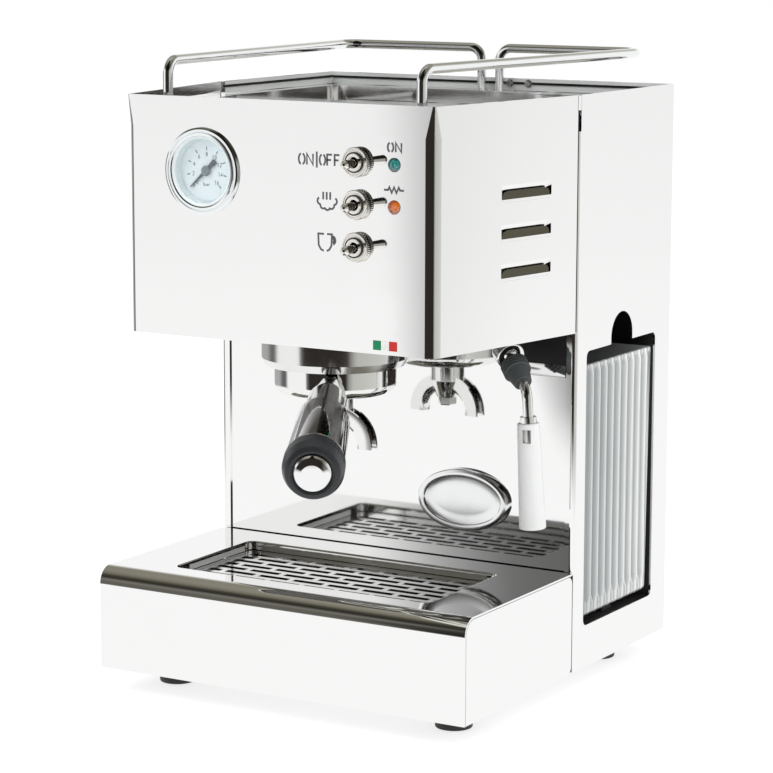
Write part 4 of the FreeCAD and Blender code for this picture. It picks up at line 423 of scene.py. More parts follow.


# Painted shade: each black strip stands for the shadow in a gap or on a shaded wall.
joint_shade_black = moulded("joint_shade_black", "black_rubber", (0.012, 0.011, 0.010), 0.7, 0.02, 1.0)
across_x, across_y = Vector((1, 0, 0)), Vector((0, 1, 0))
joint_shade_x, joint_shade_y, head_joint_shade_y = 124.5, 131.5, 131.65
tray_joint_shade_x, tray_shade_z, tray_shade_front, tray_shade_rear = 123.2, 341.4, 134, 261
for side, side_name, tray_shade_half in ((-1, "left", 0.7), (1, "right", 1.3)):
    x = side * joint_shade_x
    strip("joint_shade_base_" + side_name, (x, joint_shade_y, 1.0), (x, joint_shade_y, 60.4), 0.45, 0.45, joint_shade_black, across_x)
    strip("joint_shade_head_" + side_name, (x, head_joint_shade_y, 206.4), (x, head_joint_shade_y, 336.0), 0.45, 0.4, joint_shade_black,
          across_x)
    x = side * tray_joint_shade_x
    strip("tray_shade_" + side_name, (x, tray_shade_front, tray_shade_z), (x, tray_shade_rear, tray_shade_z),
          0.4, tray_shade_half, joint_shade_black, across_x)
strip("tray_shade_back", (-123, tray_shade_rear + 0.2, tray_shade_z), (123, tray_shade_rear + 0.2, tray_shade_z),
      0.4, 0.7, joint_shade_black, across_y)


# Linings: short steel covers close the joint at the top of each side, and light grey strips line the walls
# round the cup tray and the base's recess; their light grey is painted light for the bright reflections of
# the polished walls, and the strip at the back of the recess is a darker, browner steel.
joint_steel = bright_metal("joint_steel", "polished_steel", sheet_tint, 0.05, 0.0, 8.0)
# Painted light: a plain light grey standing for the reflections in the polished walls.
lining_painted_light = moulded("lining_painted_light", "satin_steel", (0.74, 0.76, 0.75), 0.35, 0.0, 21.0, 0.05, 25.0)
recess_dull = bright_metal("recess_dull", "satin_steel", (0.50, 0.48, 0.42), 0.38, 0.0, 31.0)
lining_half, wall_half, wall_z, recess_half, recess_z = 0.12, 3.7, 340.5, 1.6, 57.8
cover_x, cover_y, wall_x, wall_back, recess_x, recess_back = 124.1, 133.1, 123.65, 261.65, 87.35, 107.35
both_sides = ((-1, "left"), (1, "right"))
for side, side_name in both_sides:
    x = side * cover_x
    strip("joint_cover_" + side_name, (x, cover_y, 335.8), (x, cover_y, 344.3), 0.85, 2.2, joint_steel,
          across_x)
    x = side * wall_x
    strip("tray_lining_" + side_name, (x, 135.5, wall_z), (x, 261.4, wall_z), lining_half, wall_half,
          lining_painted_light, across_x)
    x = side * recess_x
    strip("recess_lining_" + side_name, (x, 40.0, recess_z), (x, 100.0, recess_z), lining_half, recess_half,
          lining_painted_light, across_x)
strip("tray_lining_back", (-123.5, wall_back, wall_z), (123.5, wall_back, wall_z), lining_half, wall_half,
      lining_painted_light, across_y)
strip("recess_lining_back", (-80.0, recess_back, recess_z), (80.0, recess_back, recess_z), lining_half,
      recess_half, recess_dull, across_y)


# Pipe opening: the splash panel is cut away at its top right for the steam pipe, and the cut's edge is
# folded. A black strip on the panel stands for the dark inside of the opening above the fold, as painted
# shade; the fold is bright steel like the panel.
opening_left, opening_right, panel_y, fold_z = 84.0, 117.8, 133.2, 178.2
dark_y, dark_z = panel_y - 0.25, 195.6
# Painted shade: a black strip for the dark inside of the opening.
opening_shade_black = moulded("opening_shade_black", "black_plastic", (0.010, 0.010, 0.010), 0.6, 0.02, 22.0)
strip("opening_dark", (opening_left, dark_y, dark_z), (opening_right, dark_y, dark_z), 0.2, 10.1,
      opening_shade_black, across_y)
sweep("opening_fold", [at(opening_left, panel_y, fold_z), at(opening_right, panel_y, fold_z)],
      [(0, 0), (-0.5, 0.15), (-0.75, 0.5), (-0.75, 0.9), (-0.45, 7.4), (0, 7.4)], joint_steel, "machine",
      across=across_y)


# Louvre throats: dark bronze-coloured plates behind the six side louvres, seen through their mouths.
# Their dark is painted shade for the inside of each pressed flap. Each is thin, with rounded upper corners,
# and leans in from the mouth's lower edge, which a narrow steel lip closes.
head_front_half, head_back_half, head_front_y, head_back_y = 102.5, 125.0, 3.0, 131.0
head_taper = (head_back_half - head_front_half) / (head_back_y - head_front_y)
louvre_y, louvre_long, louvre_top, louvre_pitch, louvre_tall = 84.0, 46.0, 297.3, 22.3, 10.0
lip_half, lip_sink, lip_end_gap = 0.95, 0.3, 0.4
lip_section = [(-0.25, -lip_half), (0.25, -lip_half), (0.25, lip_half - 0.3), (-0.1, lip_half),
               (-0.25, lip_half)]
throat_shade_outline = [(-21.5, 0.3), (21.5, 0.3), (21.7, 4.2), (20.0, 5.9), (16.5, 6.6), (-16.0, 6.6),
                  (-19.8, 5.6), (-21.9, 2.8)]
# Painted shade: a dark bronze tint for the shaded inside of the louvres.
throat_shade_bronze = bright_metal("throat_shade_bronze", "satin_steel", (0.11, 0.10, 0.072), 0.36, 0.35, 10.0)


def head_half(y):
    """Half the head's width at a depth."""
    return head_front_half + head_taper * (y - head_front_y)


for side, side_name in both_sides:
    for i in range(3):
        low = louvre_top - louvre_tall - i * louvre_pitch
        label = "%s_%d" % (side_name, i + 1)
        points = []
        for depth in (0.5, 0.9):
            points += [at(side * (head_half(louvre_y + u) - depth - 0.05 * v), louvre_y + u, low + v)
                       for u, v in throat_shade_outline]
        add_piece("throat_shade_" + label, points, tube_faces(len(throat_shade_outline), 2), throat_shade_bronze, "machine")
        lip_ends = (louvre_y - louvre_long / 2 + lip_end_gap, louvre_y + louvre_long / 2 - lip_end_gap)
        lip_path = [at(side * (head_half(y) - lip_sink), y, low + lip_half) for y in lip_ends]
        sweep("louvre_lip_" + label, lip_path, lip_section, joint_steel, "machine", across=across_x)


# Feet: four short cups of black rubber, moulded with a narrow tread and a rounded lower edge.
# Each is pressed on a stud through the floor plate, close to a corner of the base.
def round_off(corners, steps=6):
    """Line through (place, rounding) corners with each rounding drawn as a short arc."""
    line = []
    for i, (corner, rounding) in enumerate(corners):
        if not rounding or i in (0, len(corners) - 1):
            line.append(corner)
            continue
        back = (corners[i - 1][0] - corner).normalized()
        ahead = (corners[i + 1][0] - corner).normalized()
        half = back.angle(ahead) / 2
        middle = corner + (back + ahead).normalized() * (rounding / sin(half))
        start = corner + back * (rounding / tan(half))
        end = corner + ahead * (rounding / tan(half))
        for k in range(steps + 1):
            line.append(middle + (start.lerp(end, k / steps) - middle).normalized() * rounding)
    return line


def turn(name, corners, bases, axis, material, body, *stands_for, sides=96, knurl=None):
    """Turned piece: (radius, place, rounding) corners in millimetres spun round an axis, once for each base.
    A knurl of (teeth, depth, low, high) roughens the profile between two places."""
    axis = axis.normalized()
    across = axis.orthogonal().normalized()
    beside = axis.cross(across)
    profile = round_off([(Vector(corner[:2]), corner[2] if len(corner) > 2 else 0) for corner in corners])
    points, faces = [], []
    for base in bases:
        rings = []
        for radius, place in profile:
            rings.append(len(points))
            for k in range(sides):
                bite = 0
                if knurl and knurl[2] <= place <= knurl[3]:
                    bite = knurl[1] * (0.5 - 0.5 * cos(2 * pi * knurl[0] * k / sides))
                spoke = across * cos(2 * pi * k / sides) + beside * sin(2 * pi * k / sides)
                points.append(base + axis * (place / 1000) + spoke * (max(0, radius - bite) / 1000))
        for low, high in zip(rings, rings[1:]):
            for k in range(sides):
                faces.append([low + k, low + (k + 1) % sides, high + (k + 1) % sides, high + k])
    return add_piece(name, points, faces, material, body, *stands_for)


foot_x, foot_front, foot_rear, foot_tall = 96.4, 39.3, 223.7, 14
foot_places = [at(side * foot_x, y, -foot_tall) for side in (-1, 1) for y in (foot_front, foot_rear)]
foot_rubber = moulded("foot_rubber", "black_rubber", (0.016, 0.015, 0.014), 0.55, 0.03, 2.0)
upwards = Vector((0, 0, 1))
turn("feet", [(0, 0), (8.0, 0), (8.6, 0.6), (10.8, 0.6, 0.8), (11.2, 4.0), (11.9, 9.0), (12.6, 12.6, 0.6),
              (12.6, foot_tall), (0, foot_tall)],
     foot_places, upwards, foot_rubber, "machine", "rubber_feet")


# Drip tray and grid: the tray is a deep-drawn steel pan and the grid a pierced plate that lies in its rim.
# Both are bright steel; the pan is duller inside, where water stands, and the base's floor plate is satin.
grid_lo, grid_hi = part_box("drip_grid")
grid_rows, slot_wide, slot_long, slot_bar, grid_thick = 7, 0.0048, 0.0205, 0.0036, 0.0003
grid_side, grid_front, grid_back = 0.003, 0.0085, 0.0025
row_pitch = (grid_hi.y - grid_lo.y - grid_front - grid_back) / grid_rows
grid_points, grid_faces = [], []


def grid_block(x0, x1, y0, y1):
    """One solid stretch of the grid between slots."""
    first = len(grid_points)
    for z in (grid_hi.z - grid_thick, grid_hi.z):
        grid_points.extend(Vector((x, y, z)) for x, y in ((x0, y0), (x1, y0), (x1, y1), (x0, y1)))
    grid_faces.extend([first + k for k in face] for face in tube_faces(4, 2))


last_y = grid_lo.y
for row in range(grid_rows):
    slot_y = grid_lo.y + grid_front + (row + 0.5) * row_pitch - slot_wide / 2
    grid_block(grid_lo.x, grid_hi.x, last_y, slot_y)
    last_y = slot_y + slot_wide
    bar_end = grid_lo.x
    slot_start = grid_lo.x + grid_side - (row % 2) * (slot_long + slot_bar) / 2
    while slot_start < grid_hi.x - grid_side:
        open_from = max(slot_start, grid_lo.x + grid_side)
        grid_block(bar_end, open_from, slot_y, last_y)
        bar_end = min(slot_start + slot_long, grid_hi.x - grid_side)
        slot_start += slot_long + slot_bar
    grid_block(bar_end, grid_hi.x, slot_y, last_y)
grid_block(grid_lo.x, grid_hi.x, last_y, grid_hi.y)
grid_steel = bright_metal("grid_steel", "satin_steel", (0.86, 0.86, 0.85), 0.12, 0.01, 11.0)
add_piece("grid_plate", grid_points, grid_faces, grid_steel, "grid", "drip_grid")
dress(bright_metal("pan_steel", "satin_steel", (0.74, 0.74, 0.73), 0.20, 0.02, 12.0), "drip_tray")
dress(bright_metal("floor_steel", "satin_steel", (0.62, 0.62, 0.61), 0.28, 0.02, 13.0), "floor_plate")
dress(bright_metal("screw_steel", "satin_steel", (0.55, 0.54, 0.52), 0.22, 0.0, 14.0), "body_screws")


# Cup rails: two bars of bright round steel rod, bent to guard the cups on the top plate.
# Each has a post at the front and one near the middle of the back, held by a nut from below.
rail_low, rail_high, rail_back = 336.5, 363.5, 254.5
rail_corners = [(85, 19, rail_low, 0), (85, 19, rail_high, 0.008), (106, rail_back, rail_high, 0.011),
                (6.4, rail_back, rail_high, 0.008), (6.4, rail_back, rail_low, 0)]
rail_chrome = bright_metal("rail_chrome", "chrome", (0.92, 0.93, 0.93), 0.07, 0.0, 15.0)


def ring_section(radius, sides=28):
    """Round cross-section in millimetres."""
    return [(radius * cos(2 * pi * k / sides), radius * sin(2 * pi * k / sides)) for k in range(sides)]


for side, side_name in both_sides:
    rail_line = [(at(side * x, y, z), bend) for x, y, z, bend in rail_corners]
    sweep("rail_" + side_name, round_off(rail_line, 10), ring_section(3.0), rail_chrome, "machine",
          "cup_rail_" + side_name)


# Pressure gauge: a chromed bezel, grooved round its face, holds a slightly domed glass over the dial.
# The dial is enamelled a bluish white and printed in grey, and the needle is painted sheet on a small hub.
outwards = Vector((0, -1, 0))
face_y = 3.0
gauge_x, gauge_z = -50.4, 302.1
gauge_base = at(gauge_x, face_y, gauge_z)
bezel_chrome = bright_metal("bezel_chrome", "chrome", (0.90, 0.93, 0.94), 0.05, 0.0, 16.0)
turn("bezel", [(21.4, 0), (24.8, 0, 0.1), (25.2, 0.5, 0.2), (25.0, 1.4, 0.4), (24.0, 1.9, 0.3),
               (22.9, 1.9, 0.1), (22.7, 1.65, 0.1), (22.4, 1.65, 0.1), (22.1, 2.0, 0.2), (20.9, 2.1, 0.3),
               (20.3, 1.8, 0.1), (20.3, 0.3), (21.4, 0.3), (21.4, 0)],
     [gauge_base], outwards, bezel_chrome, "machine", "gauge_bezel", sides=160)
dial_front = (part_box("gauge_dial")[0].y - base_corner.y) * 1000 - 0.06
dial_place = face_y - dial_front
surround_grey = moulded("surround_grey", "dial_paint", (0.80, 0.86, 0.87), 0.3, 0.0, 23.0, 0.04)
turn("dial_surround", [(20.2, 1.7), (19.9, 1.85, 0.1), (19.5, 1.6, 0.1), (18.9, 0.9), (18.7, 0.9, 0.1),
                       (18.0, dial_place + 0.3), (17.4, dial_place + 0.25, 0.05), (17.2, dial_place),
                       (20.2, dial_place), (20.2, 1.7)],
     [gauge_base], outwards, surround_grey, "machine", sides=160)


def clear_cover(name, slot, tint, seed):
    """Clear cover: seen through straight on, with a gloss that grows towards its edges and faint smears."""
    cover, tree, skin = new_material(name, slot)
    tree.nodes.remove(skin)
    through = shader_node(tree, "BsdfTransparent", tint)
    shine = tree.nodes.new("ShaderNodeBsdfGlossy")
    smears = noise_node(tree, 80.0, 3.0, seed)
    tree.links.new(spread_node(tree, smears, 0.01, 0.06), shine.inputs["Roughness"])
    facing = tree.nodes.new("ShaderNodeLayerWeight")
    edge = ramp_node(tree, facing.outputs["Facing"], [(0.0, 0.03), (0.6, 0.06), (0.9, 0.3), (1.0, 0.8)])
    covered = shader_mix(tree, edge, through, shine.outputs[0])
    tree.links.new(covered, tree.nodes["Material Output"].inputs[0])
    return cover


gauge_clear = clear_cover("gauge_clear", "clear_glass", (0.97, 0.985, 0.99), 1.0)
turn("gauge_cover", [(0, -0.6), (18.4, -0.6), (18.6, 0.3), (17.4, 0.4), (12.0, 0.6), (6.0, 0.8), (0, 0.85)],
     [gauge_base], outwards, gauge_clear, "machine", "gauge_glass")
dress(moulded("gauge_black", "black_plastic", (0.02, 0.02, 0.02), 0.5, 0.03, 3.0), "gauge_case")
dress(moulded("dial_white", "dial_paint", (0.90, 0.95, 0.97), 0.55, 0.0, 4.0, 0.03), "gauge_dial")


def ribbon(name, lines, width, place, material, body):
    """Printed mark: flat strokes of a width in millimetres along lines, set in the frame by place."""
    points, faces = [], []
    for line in lines:
        line = [Vector(point) for point in line]
        first = len(points)
        for i, point in enumerate(line):
            back = (point - line[i - 1]).normalized() if i else (line[1] - point).normalized()
            ahead = (line[i + 1] - point).normalized() if i + 1 < len(line) else back
            mean = (back + ahead).normalized()
            beside = Vector((-mean.y, mean.x)) * (width / 2 / max(0.5, mean.dot(back)))
            points += [place(*(point + beside)), place(*(point - beside))]
        for i in range(first, len(points) - 2, 2):
            faces.append([i, i + 1, i + 3, i + 2])
    return add_piece(name, points, faces, material, body)


def arc(x, z, radius_x, radius_z, start, end, steps=14):
    """Points of an elliptical arc from one angle to another, in degrees."""
    angles = [radians(start + (end - start) * k / steps) for k in range(steps + 1)]
    return [(x + radius_x * cos(angle), z + radius_z * sin(angle)) for angle in angles]


digit_lines = {
    "0": [arc(0.5, 1, 0.5, 1, 90, 450)], "1": [[(0.15, 1.6), (0.55, 2), (0.55, 0)]],
    "2": [arc(0.5, 1.5, 0.5, 0.5, 170, -40, 8) + [(0, 0), (1, 0)]],
    "4": [[(0.75, 0), (0.75, 2), (0, 0.6), (1.05, 0.6)]],
    "6": [arc(0.5, 0.6, 0.5, 0.6, 150, 510, 14), [(0.02, 0.75), (0.3, 1.5), (0.75, 2)]],
    "8": [arc(0.5, 1.5, 0.4, 0.5, 90, 450), arc(0.5, 0.55, 0.5, 0.55, 90, 450)],
    "b": [[(0, 2), (0, 0)], arc(0.5, 0.5, 0.5, 0.5, 180, -180)],
    "a": [arc(0.5, 0.5, 0.5, 0.5, 0, 360), [(1, 1), (1, 0)]],
    "r": [[(0, 1), (0, 0)], arc(0.5, 0.5, 0.5, 0.5, 180, 60, 6)]}
dial_grey = moulded("dial_grey", "needle_paint", (0.16, 0.18, 0.20), 0.6, 0.0, 5.0)
dial_bearings = [radians(225 - 33.75 * step) for step in range(9)]
tick_inner, tick_outer, digit_ring, digit_size, digit_pitch = 11.7, 13.8, 9.5, 1.1, 1.75
dial_strokes = [[(radius * cos(bearing), radius * sin(bearing)) for radius in (tick_inner, tick_outer)]
                for bearing in dial_bearings]
dial_words = [(str(2 * step), digit_ring * cos(bearing), digit_ring * sin(bearing))
              for step, bearing in enumerate(dial_bearings)] + [("bar", 0.0, -7.6)]
dial_letters = []
for word, word_x, word_z in dial_words:
    for i, letter in enumerate(word):
        shift_x = word_x + (i - (len(word) - 1) / 2) * digit_pitch - digit_size / 2
        for line in digit_lines[letter]:
            dial_letters.append([(shift_x + digit_size * u, word_z + digit_size * (v - 1)) for u, v in line])


def on_dial(u, v):
    """Place on the dial from its middle."""
    return at(gauge_x + u, dial_front, gauge_z + v)


ribbon("dial_ticks", dial_strokes, 0.6, on_dial, dial_grey, "machine")
ribbon("dial_digits", dial_letters, 0.32, on_dial, dial_grey, "machine")

needle_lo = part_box("gauge_needle")[0]
needle_heading = radians(222)
needle_along = Vector((cos(needle_heading), 0, sin(needle_heading)))
needle_beside = Vector((-sin(needle_heading), 0, cos(needle_heading)))
needle_flat = [(-8.6, 1.3), (-8.0, 1.7), (-2.4, 1.1), (0, 1.0), (4, 0.85), (14.5, 0.25)]
needle_flat += [(reach, -half) for reach, half in reversed(needle_flat)]
needle_front, needle_back = needle_lo.y + 0.0006, needle_lo.y + 0.0012
needle_points = []
for depth in (needle_back, needle_front):
    hub = Vector((gauge_base.x, depth, gauge_base.z))
    needle_points += [hub + (needle_along * reach + needle_beside * half) / 1000
                      for reach, half in needle_flat]
needle_faces = tube_faces(len(needle_flat), 2)
needle_paint = moulded("needle_paint", "needle_paint", (0.10, 0.12, 0.13), 0.45, 0.0, 6.0)
add_piece("needle_pointer", needle_points, needle_faces, needle_paint, "needle", "gauge_needle")
turn("needle_hub", [(0, 0), (3.0, 0), (3.0, 0.9, 0.3), (2.2, 1.5, 0.3), (0, 1.6)],
     [Vector((gauge_base.x, needle_back, gauge_base.z))], outwards,
     moulded("hub_paint", "needle_paint", (0.20, 0.23, 0.25), 0.4, 0.0, 7.0), "needle")


# Toggle switches: three turned bat levers swing left and right in threaded bushes.
# Each bush is clamped to the front sheet by a round nickel nut with a grooved face and a knurled edge.
toggle_x, toggle_heights, lever_pivot_y = 53.4, (312.3, 288.6, 264.9), 1.0
toggle_places = [at(toggle_x, face_y, z) for z in toggle_heights]
nickel = bright_metal("nut_nickel", "chrome", (0.93, 0.91, 0.85), 0.16, 0.0, 17.0)
turn("nuts", [(5.2, 0), (8.4, 0), (8.4, 1.5, 0.1), (8.1, 1.7, 0.1), (8.1, 2.1, 0.1), (8.4, 2.3, 0.1),
              (8.4, 3.4, 0.2), (8.1, 3.8, 0.15), (7.0, 3.8, 0.05), (6.9, 3.65, 0.03), (6.6, 3.65, 0.03),
              (6.5, 3.8, 0.05), (5.3, 3.8, 0.05), (5.2, 3.6), (5.2, 0)],
     toggle_places, outwards, nickel, "machine", "switch_nuts", sides=180, knurl=(45, 0.28, 0.3, 3.2))
bush_metal = bright_metal("bush_metal", "chrome", (0.90, 0.88, 0.82), 0.12, 0.0, 18.0)
turn("bushes", [(2.9, 0.5), (5.1, 0.5), (5.1, 4.5, 0.15), (4.9, 4.75, 0.1), (3.2, 4.75, 0.1), (2.9, 4.4),
                (2.9, 0.5)], toggle_places, outwards, bush_metal, "machine")
dress(moulded("switch_black", "black_plastic", (0.03, 0.028, 0.026), 0.45, 0.02, 8.0), "switch_bodies")
lever_chrome = bright_metal("lever_chrome", "chrome", (0.94, 0.92, 0.88), 0.09, 0.0, 19.0)
lever_tilt = radians(12.5)
lever_axis = Vector((sin(lever_tilt), -cos(lever_tilt), 0))
lever_corners = [(0, -2.2), (1.5, -1.8, 0.4), (2.0, 0, 0.6), (1.9, 1.6, 0.6), (1.9, 3.4, 0.3),
                 (2.7, 18.2, 0.3), (2.5, 19.6, 1.2), (1.0, 21.4, 0.6), (0, 21.8)]
for lever_name, z in zip(("lever_power", "lever_steam", "lever_coffee"), toggle_heights):
    turn(lever_name + "_bat", lever_corners, [at(toggle_x, lever_pivot_y, z)], lever_axis, lever_chrome,
         lever_name, lever_name, sides=48)


# Signal lamps: two small jewel lenses of dyed clear plastic, snapped in holes from the front.
# The upper one is teal and shows the mains; the lower one is amber and shows that the block is hot.
def lens(name, slot, deep, bright, seed):
    """Dyed clear plastic: bright in the middle, deep towards the edge, with a glossy skin."""
    plastic, tree, skin = new_material(name, slot)
    facing = tree.nodes.new("ShaderNodeLayerWeight")
    facing.inputs["Blend"].default_value = 0.6
    cloud = spread_node(tree, noise_node(tree, 400.0, 2.0, seed), -0.08, 0.08)
    uneven = math_node(tree, "ADD", facing.outputs["Facing"], cloud)
    tree.links.new(ramp_node(tree, uneven, [(0.06, bright), (0.42, deep)]), skin.inputs["Base Color"])
    tree.links.new(bump_node(tree, noise_node(tree, 420.0, 0.0, seed), 2.2), skin.inputs["Normal"])
    for setting, value in (("Roughness", 0.05), ("IOR", 2.1), ("Coat Weight", 1.0),
                           ("Subsurface Weight", 0.2), ("Subsurface Radius", (0.002, 0.002, 0.002))):
        skin.inputs[setting].default_value = value
    return plastic


lamp_x = 76.8
lens_corners = [(0, -6), (3.3, -6), (3.3, 0), (4.0, 0), (4.0, 0.3, 0.1), (3.6, 1.0, 0.3), (2.8, 1.8, 0.5),
                (1.6, 2.3, 0.8), (0, 2.4)]
lens_teal = lens("lens_teal", "teal_lens", (0.0, 0.045, 0.05), (0.01, 0.26, 0.25), 1.0)
lens_amber = lens("lens_amber", "amber_lens", (0.24, 0.03, 0.003), (0.76, 0.19, 0.018), 2.0)
for lens_name, z, dyed in (("power", 311.7, lens_teal), ("heat", 288.3, lens_amber)):
    turn("lens_" + lens_name, lens_corners, [at(lamp_x, face_y, z)], outwards, dyed, "machine",
         "lamp_" + lens_name, sides=64)


# Printed marks: stencil letters and symbols screen-printed on the front sheet in dark grey ink.
# They name the mains switch, the steam and coffee switches and the heater lamp, with a tricolour tab below.
ink_grey = moulded("ink_grey", "needle_paint", (0.10, 0.105, 0.11), 0.5, 0.0, 9.0)


def on_face(u, v):
    """Place on the front sheet, just proud of it."""
    return at(u, face_y - 0.06, v)


def stencil_word(word, x, z, letter_width, letter_height, step):
    """Strokes of a stencil word; each O is two separate side arcs, and | is a tall bar."""
    lines = []
    for letter in word:
        middle = x + letter_width / 2
        if letter == "O":
            lines += [arc(middle, z + letter_height / 2, letter_width / 2, letter_height / 2, *span)
                      for span in ((108, 252), (-72, 72))]
        elif letter == "N":
            right = x + letter_width
            lines += [[(x, z), (x, z + letter_height), (right, z), (right, z + letter_height)]]
        elif letter == "F":
            lines += [[(x, z), (x, z + letter_height), (x + letter_width * 0.85, z + letter_height)],
                      [(x, z + letter_height * 0.52), (x + letter_width * 0.7, z + letter_height * 0.52)]]
        elif letter == "|":
            lines += [[(x + 0.3, z - 1.4), (x + 0.3, z + letter_height + 1.4)]]
            x -= letter_width - 1.2
        x += step
    return lines


mark_lines = stencil_word("ON", 14.8, 309.3, 4.0, 6.2, 5.4) + stencil_word("|", 26.4, 309.3, 4.0, 6.2, 5.4)
mark_lines += stencil_word("OFF", 28.6, 309.3, 3.7, 6.2, 4.9)
mark_lines += stencil_word("ON", 72.7, 318.8, 3.6, 5.1, 5.1)
mark_lines += [[(70.4, 297.8), (73.0, 297.8), (73.8, 299.4), (75.3, 296.3), (76.8, 299.4), (78.3, 296.3),
                (79.8, 299.4), (80.6, 297.8), (83.1, 297.8)]]
mark_lines += [[(x, 290.3), (x, 294.6)] for x in (30.9, 33.2, 35.5)]
mark_lines += [arc(29.0, 289.5, 1.9, 1.9, 115, 262, 8) + arc(30.9, 286.8, 1.8, 1.6, 175, 305, 8)
               + arc(33.6, 285.9, 1.6, 1.4, 215, 325, 6) + arc(36.2, 286.8, 1.8, 1.6, 235, 365, 8)
               + arc(38.0, 289.5, 1.9, 1.9, -82, 65, 8)]
mark_lines += [[(31.4, 271.0), (27.6, 271.0), (27.9, 264.6), (29.4, 262.2), (31.2, 261.5)],
               [(33.4, 271.0), (36.6, 271.0), (36.3, 264.6), (34.8, 262.2), (33.2, 261.5)],
               arc(36.9, 267.6, 2.0, 2.3, 85, -75, 10), arc(36.9, 267.6, 1.0, 1.3, 85, -75, 10)]
ribbon("front_marks", mark_lines, 1.15, on_face, ink_grey, "machine")
tab_wide, tab_tall, tab_z = 5.15, 5.4, 210.7
for tab_name, start, colour in (("green", 63.5, (0.0, 0.25, 0.10)), ("white", 68.7, (0.80, 0.80, 0.78)),
                                ("red", 73.9, (0.62, 0.02, 0.015))):
    tab_ink = moulded("tab_" + tab_name, "dial_paint", colour, 0.5, 0.0, start, 0.06)
    ribbon("tab_" + tab_name, [[(start, tab_z), (start + tab_wide, tab_z)]], tab_tall, on_face, tab_ink,
           "machine")


# Group: the bell is a turned, satin-polished casting under the head, which takes the filter holder's lugs.
# Inside it are a rubber gasket, a pierced shower screen and the screw that holds the screen.
bell_satin = bright_metal("bell_satin", "chrome", (0.86, 0.86, 0.85), 0.13, 0.0, 20.0)
dress(bell_satin, "group_head")
dress(bright_metal("screen_steel", "satin_steel", (0.70, 0.70, 0.69), 0.22, 0.02, 21.0),
      "shower_screen", "screen_screw")
dress(moulded("gasket_rubber", "black_rubber", (0.02, 0.02, 0.02), 0.7, 0.02, 10.0), "group_gasket")


# Filter holder: a chromed brass bowl with two lugs, a pressed steel basket on a spring and a double spout.
# The spout's two open channels are cast in one piece with their hub and held by a hexagonal nut.
bowl_chrome = bright_metal("bowl_chrome", "chrome", (0.90, 0.90, 0.89), 0.06, 0.0, 22.0)
dress(bowl_chrome, "portafilter")
group_y = 66
group_base = at(0, group_y, 0)
turn("spout_hub", [(0, 147), (6.5, 147, 0.4), (10.5, 158, 1.5), (10.5, 169.9), (0, 169.9)], [group_base],
     upwards, bowl_chrome, "portafilter", "spout")
turn("spout_hex", [(0, 142.0), (5.2, 142.0), (6.0, 142.7), (6.0, 146.9), (0, 146.9)], [group_base], upwards,
     bowl_chrome, "portafilter", "spout_nut", sides=6)
spout_az, spout_reach, spout_bend, spout_bend_z, spout_end_z = radians(5.6), 2.5, 17.6, 138.5, 137.0
channel = [(-4.5, 5.2)] + arc(0, -1.0, 4.5, 4.5, 180, 360, 12) + [(4.5, 5.2), (3.0, 5.2)]
channel += arc(0, -0.5, 3.0, 3.0, 360, 180, 12) + [(-3.0, 5.2)]
for side, side_name in both_sides:
    along = Vector((cos(spout_az), sin(spout_az), 0)) * side
    bend_line = [(spout_reach + x, z) for x, z in arc(0, spout_bend_z, spout_bend, spout_bend, 90, 0, 16)]
    bend_line.append((spout_reach + spout_bend, spout_end_z))
    leg_path = [at(0, group_y, z) + along * (x / 1000) for x, z in bend_line]
    sweep("spout_leg_" + side_name, leg_path, channel, bowl_chrome, "portafilter",
          across=upwards.cross(along))
dress(bright_metal("basket_steel", "satin_steel", (0.75, 0.75, 0.74), 0.18, 0.01, 23.0),
      "filter_basket", "basket_spring")


# Handle: a stepped chromed grip between a grooved black collar and a slate end ring with a chromed cap.
# It screws on the filter holder's neck, points forward and right, and droops a little.
handle_az, handle_droop = radians(27.7), radians(9.8)
handle_axis = Vector((sin(handle_az) * cos(handle_droop), -cos(handle_az) * cos(handle_droop),
                      -sin(handle_droop)))
handle_base = at(0, group_y, 186.3)
collar_black = moulded("collar_black", "black_plastic", (0.016, 0.016, 0.016), 0.35, 0.01, 11.0)
grip_chrome = bright_metal("grip_chrome", "chrome", (0.88, 0.88, 0.88), 0.07, 0.0, 24.0)
ring_slate = moulded("ring_slate", "slate_rubber", (0.020, 0.022, 0.025), 0.34, 0.01, 12.0)
cap_chrome = bright_metal("cap_chrome", "chrome", (0.92, 0.92, 0.92), 0.05, 0.0, 25.0)
turn("collar", [(5.2, 45.6), (7.2, 45.6, 0.3), (7.7, 46.2, 0.2), (7.7, 47.2, 0.2), (7.0, 47.6, 0.1),
                (7.0, 48.0, 0.1), (7.7, 48.4, 0.2), (7.7, 50.4), (5.2, 50.4), (5.2, 45.6)],
     [handle_base], handle_axis, collar_black, "portafilter", "handle_collar")
turn("grip", [(5.0, 50.5), (8.4, 50.5, 0.2), (9.0, 51.2, 0.3), (11.4, 68, 30.0), (12.6, 98, 0.3),
              (13.2, 99.0, 0.3), (15.0, 100.6, 0.6), (16.4, 162.6, 0.6), (15.4, 163.9, 0.3), (5.0, 163.9)],
     [handle_base], handle_axis, grip_chrome, "portafilter", "handle_grip")
turn("end_ring", [(9.0, 164), (16.2, 164, 0.4), (16.9, 165.2, 0.8), (16.9, 174.0, 4.0), (15.0, 179.5, 2.0),
                  (12.4, 180.4, 0.8), (10.9, 180.0, 0.3), (10.9, 178), (9.0, 178), (9.0, 164)],
     [handle_base], handle_axis, ring_slate, "portafilter", "handle_ring")
turn("end_cap", [(0, 178.2), (10.2, 178.2), (10.4, 180.7, 0.6), (9.4, 182.2, 0.8), (6.0, 183.4, 3.0),
                 (0, 183.9)],
     [handle_base], handle_axis, cap_chrome, "portafilter", "handle_cap")


